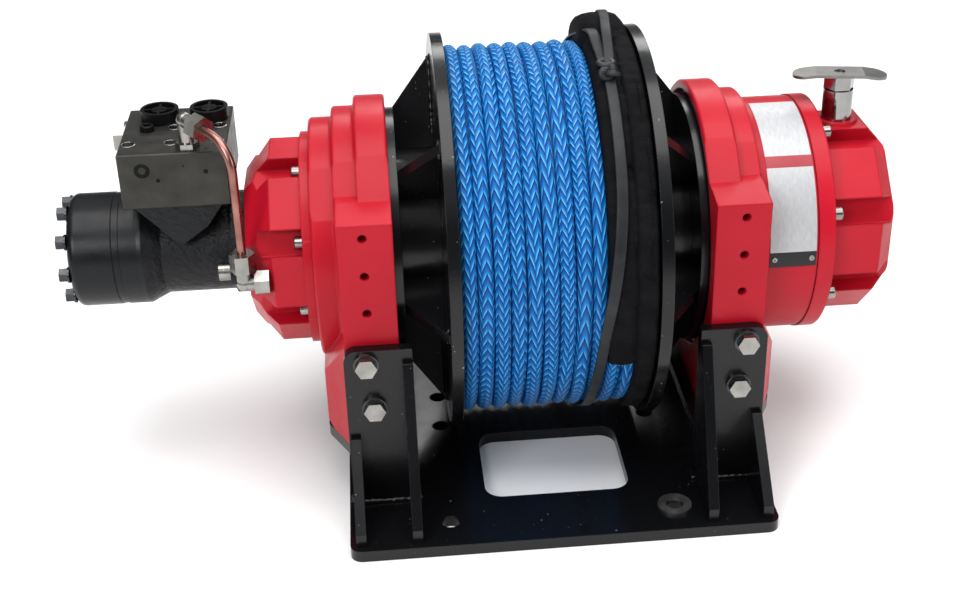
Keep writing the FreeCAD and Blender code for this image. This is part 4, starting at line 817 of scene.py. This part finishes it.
def block_details():
    """Bright rims of the counterbores, socket plugs, and near-black discs of painted shade for
    the mouths of small ports.
    """
    lo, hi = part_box("valve_block")
    rims = [annulus(Vector(((a.x + b.x) / 2, (a.y + b.y) / 2, hi[2])), UP, *BORE_RIM)
            for a, b in islands("block_screws")]
    piece("block_bore_rims", *join(rims), "zinc_steel")
    plugs = []
    for a, b in islands("block_plugs"):
        middle, radius = (a + b) / 2, (b.x - a.x) / 2
        if a.y < lo[1] + 0.002 and middle.z < hi[2] - 0.004:
            plugs.append(cap_screw(Vector((middle.x, lo[1] + 0.001, middle.z)), FRONT, radius,
                                   0.0014, 0.42, 0.9, False))
        else:
            plugs.append(cap_screw(Vector((middle.x, middle.y, hi[2] - 0.001)), UP, radius,
                                   b.z - hi[2] + 0.001, 0.5, 0.6, False))
    piece("block_plug_heads", *join(plugs), "cap_plastic", "frame", ("block_plugs",), False)
    # Painted shade: a near-black disc on the face stands for the shaded inside of each small
    # port.
    mouths = [recess(Vector((lo[0] + x, lo[1], lo[2] + z)), FRONT, radius)
              for x, z, radius in FRONT_PORTS]
    x, y, radius = TOP_PORT
    mouths.append(recess(Vector((lo[0] + x, lo[1] + y, hi[2])), UP, radius))
    piece("block_port_hole_shade", *join(mouths), "cap_plastic")


def seams():
    """The dark line where the clutch cover meets the gear case."""
    n = 160
    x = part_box("gear_case")[1][0]
    radius = -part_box("clutch_cover")[0][1]
    profile = ((x - 0.0004, radius - 0.0030), (x - 0.0004, radius - 0.0004),
               (x + 0.0007, radius - 0.0002), (x + 0.0007, radius - 0.0030))
    verts = [on_drum(360.0 * i / n, at, r) for i in range(n) for at, r in profile]
    piece("cover_seam", verts, grid_faces(n, len(profile), wrap_columns=True, wrap_rows=True),
          "cap_plastic")


# ------------------------------------------------------------------ welds
BEAD_STEP, FRAME_BEAD, DRUM_BEAD = 0.0022, 0.0032, 0.0026
BEAD_LIFT = 0.001                 # middle of a bead above the plate it lies on
FOOT_INSET = 0.004                # beads across a foot from its ends
RIB_WELD_RADII = (0.10, 0.12)     # first points of a rib's bead; the last is by its far end
RIB_WELD_FAR, RIB_WELD_SHORT = 0.19, 0.006     # farthest end of a rib, and how far short of it
RIB_HALF, RIB_MIDDLE = 0.0048, 0.13            # half a rib's thickness with its bead, radius


def bead(points, radius, seed):
    """A weld bead: a lumpy, rippled string along the points."""
    length = sum((b - a).length for a, b in zip(points, points[1:]))
    count, n, verts = max(int(length / BEAD_STEP), 6), 8, []
    path = spline(points, count)
    for i, p in enumerate(path):
        u, w = across_axis(direction(path, i))
        size = radius * (1 + 0.16 * math.sin(i * 2.1)
                         + 0.30 * noise.noise(Vector((i * 0.16, seed, 0))))
        verts += [p + (u * math.cos(a) + w * math.sin(a)) * size for a in turn_angles(n)]
    return verts, capped_tube(count, n)


def welds():
    """Beads round the feet of the uprights, and along both sides of the drum's ribs."""
    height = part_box("base_plate")[1][2] + BEAD_LIFT
    made = []
    for node in ("front_left_upright", "front_right_upright", "rear_left_upright",
                 "rear_right_upright"):
        lo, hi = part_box(node)
        for y in (lo[1], hi[1]):
            made.append(bead([Vector((x, y, height)) for x in
                              (lo[0] + FOOT_INSET, (lo[0] + hi[0]) / 2, hi[0] - FOOT_INSET)],
                             FRAME_BEAD, hi[0] * 90))
        for x in (lo[0], hi[0]):
            made.append(bead([Vector((x, lo[1], height)), Vector((x, hi[1], height))],
                             FRAME_BEAD, lo[1] * 70))
    piece("frame_weld_beads", *join(made), "black_paint")
    made = []
    for side, sign in (("left", -1), ("right", 1)):
        for lo, hi in islands(side + "_ribs"):
            x = (lo.x if side == "right" else hi.x) + sign * BEAD_LIFT
            centre = (lo + hi) / 2
            theta = math.degrees(math.atan2(-centre.y, centre.z - AXIS))
            far = max(math.hypot(p, q) for p in (lo.y, hi.y)
                      for q in (lo.z - AXIS, hi.z - AXIS))
            radii = (*RIB_WELD_RADII, min(far, RIB_WELD_FAR) - RIB_WELD_SHORT)
            for off in (-RIB_HALF, RIB_HALF):
                spin = math.degrees(off / RIB_MIDDLE)
                made.append(bead([on_drum(theta + spin, x, r) for r in radii], DRUM_BEAD,
                                 theta))
    piece("drum_weld_beads", *join(made), "black_paint", "drum")


camera()
stage()
dress()
rope()
sleeve()
strap()
end_screws()
welds()
plate_rivets()
block_details()
seams()
washer_faces()
